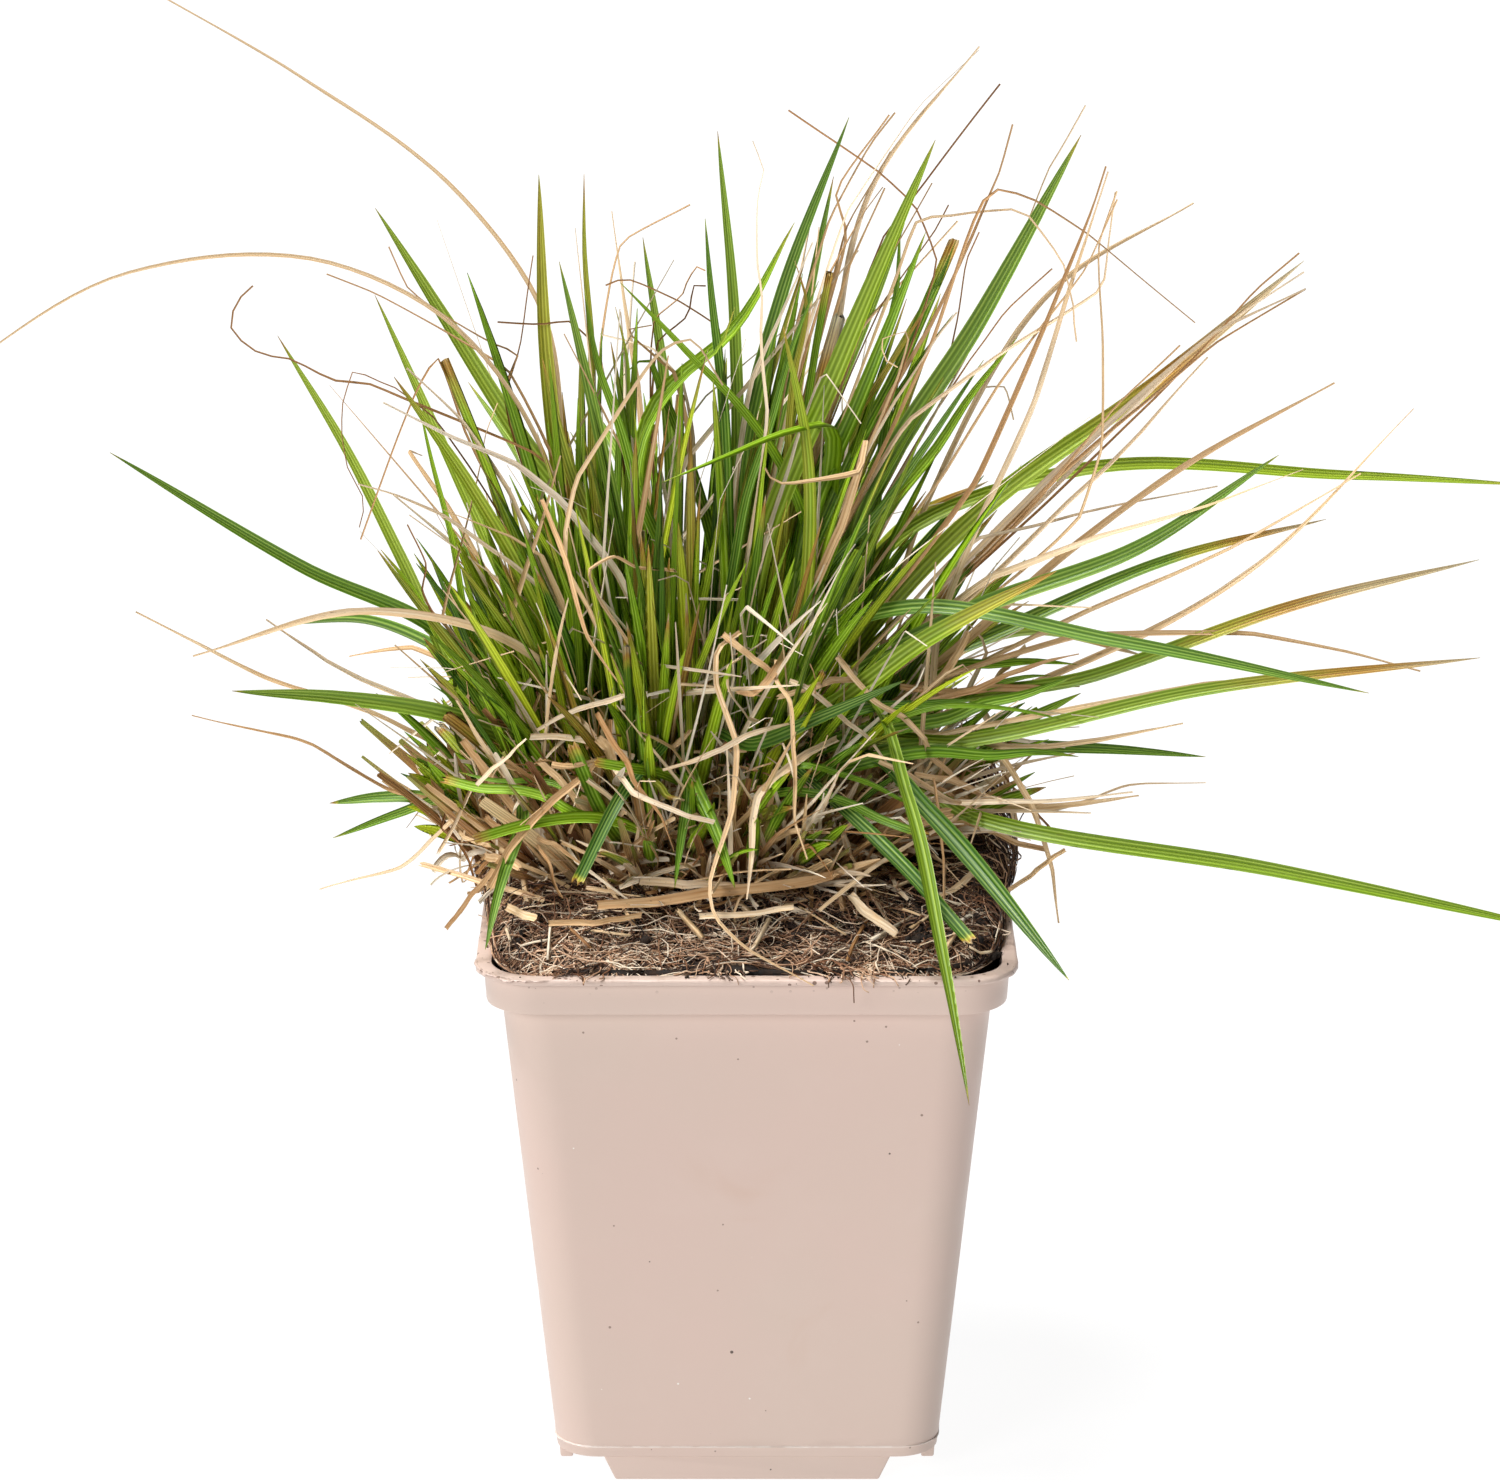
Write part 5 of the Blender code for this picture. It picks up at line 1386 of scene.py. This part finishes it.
def straw_part(draw, width, path, tone):
    """One dry blade along a path: a flat or folded strip that twists a little."""
    count = len(path)
    share = np.linspace(0.0, 1.0, count)
    bends = np.linspace(0, 1, 7)
    kinks = np.column_stack([np.interp(share, bends, draw.normal(0.0, 0.3, 7)) for _ in range(3)])
    short = np.linalg.norm(path[-1] - path[0]) < SHORT_STRAW
    path = path + (0.5 if short else 1.0) * kinks * np.sin(math.pi * share)[:, None]
    taper = cut_width(share, base=0.9) if short else point_width(share, base=0.8)
    uneven = wander(draw, (1, count), size=0.05, smooth=0.7)[0]
    widths = np.maximum(width * taper * (1.0 + uneven), 0.32)
    twist = draw.normal(0.0, 0.9) * (share - 0.3) + draw.uniform(-0.5, 0.5)
    part = one_ribbon(path, FRONT if path[-1, 1] < 40 else BACK, widths, twist, tops=5,
                      lift=draw.uniform(0.10, 0.42), depth=0.06 if width > 0.7 else 0.25, ribbing=0.03,
                      tone=[tone])
    if short:
        fray(draw, part)
    return part


def from_crown(points):
    """The points with one before them on the crown's surface, where the first stands off it."""
    away = (np.array(points[0], float) - CROWN_CENTRE) / CROWN_RADII
    if np.linalg.norm(away) < 1.25:
        return points
    return [CROWN_CENTRE + 0.85 * CROWN_RADII * unit(away), *points]


def make_straws(draw, name, numbers, finer):
    parts = []
    for number in numbers:
        width, cell, *passes = STRAWS[number - 1]
        tone = draw.uniform(0.45, 0.85)
        parts.append(straw_part(draw, width, stem_path(cell, passes, count=53, depth=10.0), tone))
    for width, *points in finer:
        tone = draw.uniform(0.0, 0.3) if width < THIN_STRAW else draw.uniform(0.3, 0.95)
        parts.append(straw_part(draw, width, bent_path(from_crown(points), count=42), tone))
    build_mesh(name, parts, "straw", [f"straw_{number:02d}" for number in numbers], LEAF_SHARP)


# Tuft

def tiller_bases(draw, count):
    """Feet of the shoots over the crown's oval, and the ways that they lean."""
    angle = draw.uniform(0, TURN, count)
    reach = np.sqrt(draw.uniform(0, 1, count))
    feet = CROWN_CENTRE - TILLER_DEPTH * UP + TILLER_OVAL * reach[:, None] * outward(angle)
    lean = np.radians(4 + 50 * reach ** 1.3 + draw.normal(0, 6, count))
    return feet, unit(xyz(np.sin(lean) * np.cos(angle) + 0.09, np.sin(lean) * np.sin(angle), np.cos(lean)))


def grow_paths(feet, ways, bends, lengths, stations):
    """Paths that leave each foot along its way and bend off it."""
    share = np.linspace(0, 1, stations)[:, None]
    return feet[:, None] + lengths[:, None, None] * (share * ways[:, None] + share ** 2 * bends[:, None])


def reach_to_edge(feet, ways):
    """How far along each way the tuft's oval outline lies."""
    start, way = (feet - TUFT_CENTRE) / TUFT_RADII, ways / TUFT_RADII
    a, b, c = np.sum(way * way, 1), np.sum(start * way, 1), np.sum(start * start, 1) - 1
    return (-b + np.sqrt(np.maximum(0.0, b * b - a * c))) / a


def keep_inside(paths_of, lengths):
    """Paths of these lengths, with those that leave the tuft's box made shorter."""
    for _ in range(40):
        paths = paths_of(lengths)
        outside = np.any((paths < TUFT_LOW) | (paths > TUFT_HIGH), axis=(1, 2))
        if not outside.any():
            break
        lengths = np.where(outside, lengths * 0.94, lengths)
    return paths


def breaks(draw, count, stations, share_broken, turn):
    """How far each path leaves its line, in lengths, where a straw has broken over."""
    where = draw.uniform(0.4, 0.95, count)
    past = np.maximum(0.0, np.linspace(0, 1, stations) - where[:, None])
    turns = draw.normal(0.0, turn, (count, 3)) * (draw.uniform(0, 1, count) < share_broken)[:, None]
    return past[..., None] * turns[:, None]


def make_sheaths(draw, feet, ways):
    """Layered sheaths: a stem for each shoot and torn papery bits round it."""
    count = len(feet)
    share = np.linspace(0, 1, 9)
    parts = []
    for layer, (thick, tall) in enumerate(((2.2, 1.0), (1.9, 0.7), (1.6, 0.5))):
        jitter = draw.normal(0, 0.9 * layer, (count, 3)) * LEVEL
        lengths = draw.uniform(20, 34, count) * tall
        lean = unit(ways * np.array([0.8, 0.8, 1.0]) + draw.normal(0, 0.07 + 0.05 * layer, (count, 3)))
        paths = grow_paths(feet + jitter, lean, 0.18 * (ways - lean), lengths, stations=9)
        widths = thick * draw.uniform(0.75, 1.25, (count, 1)) * (1.0 - 0.6 * share ** 2)
        sides = unit(np.cross(lean, unit(draw.normal(0, 1, (count, 3)))))
        twists = draw.uniform(-0.5, 0.5, (count, 1)) * share
        tones = some_tones(draw, middle=0.5, spread=0.25, count=count)
        parts.append(ribbons(paths, sides, widths, twists, tops=5, lift=0.16, depth=0.30, ribbing=0.03,
                             tone=tones))
        fray(draw, parts[-1])
    parts.append(outer_sheaths(draw, OUTER_SHEATHS))
    build_mesh("crown_sheaths", parts, "sheath", ["crown"], LEAF_SHARP)


def outer_sheaths(draw, count):
    """Broad dead sheaths, curved across, that stand round the crown's foot."""
    angle = draw.uniform(0, TURN, count)
    angle[: count // 2] = draw.uniform(1.05 * math.pi, 1.95 * math.pi, count // 2)
    out = outward(angle)
    reach = draw.uniform(0.86, 1.04, (count, 1))
    feet = CROWN_CENTRE - SHEATH_DEPTH * UP + SHEATH_OVAL * out * reach
    lean = unit(out * draw.uniform(0.0, 0.7, (count, 1)) + UP + draw.normal(0, 0.22, (count, 3)))
    lengths = draw.uniform(11, 27, count)
    paths = grow_paths(feet, lean, 0.2 * out, lengths, stations=9)
    paths += lengths[:, None, None] * breaks(draw, count, stations=9, share_broken=0.3, turn=0.7)
    paths[..., 2] = np.maximum(paths[..., 2], MAT_TOP - 4.5)
    share = np.linspace(0, 1, 9)
    swell = 0.75 + 0.3 * np.sin(math.pi * np.minimum(1.0, 0.15 + share * 0.8))
    widths = draw.uniform(1.0, 2.8, (count, 1)) * swell
    sides = unit(np.cross(out, lean) + draw.normal(0, 0.2, (count, 3)))
    twists = draw.normal(0, 0.3, (count, 1)) * share
    tones = some_tones(draw, middle=0.55, spread=0.28, count=count)
    part = ribbons(paths, sides, widths, twists, tops=5, lift=-0.24, depth=0.06, ribbing=0.0, tone=tones)
    part[2]["along"] = part[2]["along"] * 0.5
    fray(draw, part)
    return part


def facing_of(draw, paths, spread):
    """First sides that turn most faces to the nearer of front and back."""
    ends = paths[:, -1]
    nearer = np.where(ends[:, 1:2] < CROWN_CENTRE[1] + 16, FRONT, BACK)
    return unit(np.cross(unit(ends - paths[:, 0]), nearer + draw.normal(0, spread, (len(paths), 3))))


def from_tillers(draw, feet, ways, weights, count, spread, low, high):
    """Where blades leave the tillers, the ways that they go and those ways laid level."""
    pick = draw.choice(len(feet), count, p=weights / weights.sum())
    way = unit(ways[pick] + draw.normal(0, spread, (count, 3)))
    return feet[pick] + ways[pick] * draw.uniform(low, high, (count, 1)), way, way * LEVEL


def make_green_tuft(draw, feet, ways, count):
    """The tuft's green blades: those placed at random, and those that show on their own."""
    weights = np.where((ways[:, 1] < -0.42) | (ways[:, 2] < 0.72), 0.2, 1.0)
    foot, way, level = from_tillers(draw, feet, ways, weights, count, spread=0.12, low=8, high=20)
    bends = draw.uniform(-0.05, 0.30, (count, 1)) * level - draw.uniform(0, 0.16, (count, 1)) * UP
    long = np.where(draw.uniform(0, 1, count) < 0.12, 1.4, 1.0)
    lengths = reach_to_edge(foot, way) * draw.uniform(0.4, 1.0, count) ** 0.7 * long
    share = np.linspace(0, 1, 14)
    paths = keep_inside(lambda reach: grow_paths(foot, way, bends, reach, stations=14), lengths)
    cut = draw.uniform(0, 1, count) < 0.07
    taper = np.where(cut[:, None], cut_width(share), point_width(share))
    widths = np.maximum(draw.uniform(1.2, 2.7, (count, 1)) * taper, 0.12)
    twists = draw.normal(0, 0.5, (count, 1)) * share
    old = draw.uniform(0, 1, count)
    much, little = draw.uniform(0.25, 0.6, count), draw.uniform(0.05, 0.25, count)
    yellow = np.where(old > 0.9, much, np.where(old > 0.7, little, 0.0))
    tip = np.where(draw.uniform(0, 1, count) < 0.3, draw.uniform(0.3, 1.0, count), 0.15)
    dry = yellow[:, None] + tip[:, None] * np.clip((share - 0.78) / 0.22, 0, 1) ** 1.4
    tones = some_tones(draw, middle=0.45, spread=0.26, count=count)
    sides = facing_of(draw, paths, spread=0.45)
    parts = [ribbons(paths, sides, widths, twists, tops=5, lift=0.28, depth=0.08, ribbing=0.018,
                     tone=tones, dry=dry)]
    fray(draw, parts[0], cut)
    share = np.linspace(0, 1, 30)
    for number, (width, age, *points) in enumerate(TUFT_BLADES, 1):
        cut = number in CUT_TUFT_BLADES
        taper = cut_width(share, base=0.5) if cut else point_width(share, base=0.6)
        dry = age + (6.0 if cut else 3.0) * np.clip(share - 0.9, 0, 1)
        path = smooth_path(from_crown(points), count=30)
        parts.append(one_ribbon(path, FRONT, np.maximum(width * taper, 0.1), 0.2 * share,
                                tops=9, lift=0.26, depth=0.08, ribbing=0.02,
                                tone=[draw.uniform(0.05, 0.55)], dry=dry[None]))
        if cut:
            fray(draw, parts[-1])
    build_mesh("tuft_blades", parts, "tuft", ["crown"])


def make_dry_tuft(draw, feet, ways, count):
    """Dry blades that fill the tuft, most of them on its right."""
    weights = 1.0 + 2.0 * np.clip(ways[:, 0], 0, 0.6)
    foot, way, level = from_tillers(draw, feet, ways, weights, count, spread=0.26, low=2, high=18)
    bends = (draw.uniform(-0.15, 0.3, (count, 1)) * level + draw.normal(0, 0.05, (count, 3))
             - draw.uniform(0, 0.15, (count, 1)) * UP)
    lengths = reach_to_edge(foot, way) * draw.uniform(0.3, 1.02, count)
    share = np.linspace(0, 1, 12)
    broken = breaks(draw, count, stations=12, share_broken=0.6, turn=0.9)
    paths = keep_inside(lambda reach: grow_paths(foot, way, bends, reach, stations=12)
                        + reach[:, None, None] * broken, lengths)
    widths = np.maximum(draw.uniform(0.5, 1.0, (count, 1)) ** 2 * 1.5 * point_width(share, base=0.85), 0.22)
    twists = draw.normal(0, 0.9, (count, 1)) * share
    tones = some_tones(draw, middle=0.80, spread=0.30, count=count)
    sides = facing_of(draw, paths, spread=0.8)
    part = ribbons(paths, sides, widths, twists, tops=3, lift=0.22, depth=0.10, ribbing=0.0, tone=tones)
    build_mesh("tuft_straws", [part], "straw", ["crown"], LEAF_SHARP)


def make_thatch(draw, count):
    """Short broken straws lodged round the foot of the tuft, and those that show in front of it."""
    front = draw.uniform(0, 1, count) < 0.62
    angle = np.where(front, draw.uniform(math.pi, TURN, count), draw.uniform(0, math.pi, count))
    reach = draw.uniform(0.6, 1.22, count)
    z = THATCH_LOW + draw.uniform(0, 1, count) ** 2 * THATCH_RISE
    height = (z - 100) / 34
    out = outward(angle)
    inward = reach * (1.0 - 0.25 * height)
    place = CROWN_CENTRE * LEVEL + THATCH_OVAL * inward[:, None] * out
    place[:, 2] = z
    way = unit(0.45 * out + draw.normal(0, 0.7, (count, 3)) * np.array([1, 1, 0.8]) + 0.38 * UP)
    stations = 12
    lengths = draw.uniform(8, 40, count) * (1.0 - 0.5 * height)
    curl = draw.uniform(0, 1, count) ** 5 * 0.42 + 0.013
    axis = unit(draw.normal(0, 1, (count, 3)))
    broken_at = draw.integers(3, stations - 2, count)
    broken_way = draw.normal(0, 1.0, (count, 3)) * (draw.uniform(0, 1, count) < 0.45)[:, None]
    paths = np.empty((count, stations, 3))
    for k in range(stations):
        paths[:, k] = place
        way = unit(way + curl[:, None] * np.cross(axis, way) + draw.normal(0, 0.03, (count, 3))
                   + broken_way * (broken_at == k)[:, None] - 0.02 * UP)
        place = place + (lengths / stations)[:, None] * way
    paths[..., 2] = np.maximum(paths[..., 2], felt_height(paths[..., 0], paths[..., 1]) + 0.8)
    paths = THATCH_MIDDLE + THATCH_REACH * np.tanh((paths - THATCH_MIDDLE) / THATCH_REACH)
    share = np.linspace(0, 1, stations)
    widths = np.maximum((0.35 + draw.uniform(0, 1, (count, 1)) ** 2) * cut_width(share, base=0.9), 0.25)
    twists = draw.normal(0, 1.2, (count, 1)) * share
    sides = unit(np.cross(paths[:, -1] - paths[:, 0], FRONT + draw.normal(0, 0.7, (count, 3))))
    # Tones run lighter further out from the crown and darker higher up; the darker ones deep inside the tuft
    # are painted shade.
    tones = some_tones(draw, 0.23 + 0.5 * reach - 0.012 * (z - 100), 0.32, count)
    parts = [ribbons(paths, sides, widths, twists, tops=3, lift=0.3, depth=0.06, ribbing=0.0, tone=tones)]
    fray(draw, parts[0])
    for width, *points in LOOSE_STRAWS:
        tone = 0.1 if width < THIN_STRAW else draw.uniform(0.25, 0.8)
        parts.append(straw_part(draw, width, bent_path(points, count=32), tone))
    build_mesh("thatch", parts, "straw", ["crown"], LEAF_SHARP)


def make_chips(draw, count):
    """Flat chips of straw that lie on the felt in front of the crown."""
    x, y = draw.uniform(-40, 42, count), draw.uniform(-36, -10, count)
    heading = draw.uniform(0, math.pi, count)
    lengths = draw.uniform(3, 15, count)
    run = np.linspace(-0.5, 0.5, 5) * lengths[:, None]
    x, y = x[:, None] + np.cos(heading)[:, None] * run, y[:, None] + np.sin(heading)[:, None] * run
    z = felt_height(x, y) + draw.uniform(0.8, 2.4, (count, 1))
    z += draw.normal(0, 0.14, (count, 1)) * run
    widths = draw.uniform(0.5, 1.4, (count, 1)) * np.ones(5)
    sides = unit(xyz(-np.sin(heading), np.cos(heading), draw.normal(0, 0.3, count)))
    tones = some_tones(draw, middle=0.6, spread=0.2, count=count)
    part = ribbons(xyz(x, y, z), sides, widths, np.zeros((count, 5)), tops=5, lift=0.10, depth=0.10,
                   ribbing=0.02, tone=tones)
    fray(draw, part)
    build_mesh("straw_chips", [part], "straw", ["root_mat"])


# Stage

def make_stage():
    """A pale floor that glows like a light table, a pale surround and two soft lights."""
    mesh = bpy.data.meshes.new("floor")
    half = FLOOR_HALF_METRES
    corners = [(-half, -half, 0), (half, -half, 0), (half, half, 0), (-half, half, 0)]
    mesh.from_pydata(corners, [], [(0, 1, 2, 3)])
    material, _, shader = new_material("floor", (0.95, 0.95, 0.95))
    shader["Base Color"].default_value = (0.10, 0.10, 0.10, 1.0)
    shader["Emission Color"].default_value = (1.0, 1.0, 1.0, 1.0)
    shader["Emission Strength"].default_value = FLOOR_GLOW
    shader["Roughness"].default_value = 0.9
    mesh.materials.append(material)
    floor = new_object("floor", mesh)
    world = bpy.data.worlds.new("studio")
    bpy.context.scene.world = world
    world.use_nodes = True
    surround = world.node_tree.nodes["Background"].inputs
    surround["Color"].default_value = (1.0, 1.0, 1.0, 1.0)
    surround["Strength"].default_value = SURROUND_STRENGTH
    for name, way, power, spread in LIGHTS:
        light = bpy.data.lights.new(name, "SUN")
        light.energy = power
        light.angle = math.radians(spread)
        lamp = new_object(name, light)
        lamp.location = way
        x, y, z = way
        lamp.rotation_euler = (math.atan2(math.hypot(x, y), z), 0.0, math.atan2(x, -y))


def make_camera():
    data = bpy.data.cameras.new("camera")
    data.lens = CAMERA_LENS
    data.sensor_width = CAMERA_SENSOR
    data.clip_start = NEAREST_METRES
    camera = new_object("camera", data)
    camera.location = [value * MM for value in CAMERA_PLACE]
    camera.rotation_euler = (math.radians(90.0 - CAMERA_PITCH), 0.0, 0.0)
    bpy.context.scene.camera = camera


def main():
    make_camera()
    make_stage()
    bpy.context.scene.view_settings.view_transform = "Standard"
    draw = np.random.default_rng(SEED)
    make_pot(draw)
    make_flash(draw)
    make_compost(draw)
    make_crumbs(draw)
    make_felt(draw)
    # The low layer's tones are lowered so that it lies darker under the top layer: painted shade.
    make_fibres(draw, "root_fibres_low", scattered(draw, count=1700, locks=240), stations=10, radius=0.115,
                shortest=12, longest=34, height=0.5, curl=0.24, lift=-0.30)
    make_fibres(draw, "root_fibres_top", scattered(draw, count=2300, locks=300), stations=11, radius=0.088,
                shortest=9, longest=30, height=1.2, curl=0.34, lift=0.10)
    make_fibres(draw, "root_fibres_rim", along_rim(draw, count=1500), stations=12, radius=0.092,
                shortest=16, longest=44, height=0.8, curl=0.15, lift=0.05)
    make_hanging_fibres(draw)
    for number, leaf in enumerate(LEAVES, 1):
        make_leaf(draw, number, *leaf)
    for name, (numbers, finer) in STRAW_SIDES.items():
        make_straws(draw, name, numbers, finer)
    feet, ways = tiller_bases(draw, TILLERS)
    make_sheaths(draw, feet, ways)
    make_green_tuft(draw, feet, ways, GREEN_BLADES)
    make_dry_tuft(draw, feet, ways, DRY_BLADES)
    make_thatch(draw, THATCH_STRAWS)
    make_chips(draw, STRAW_CHIPS)


main()
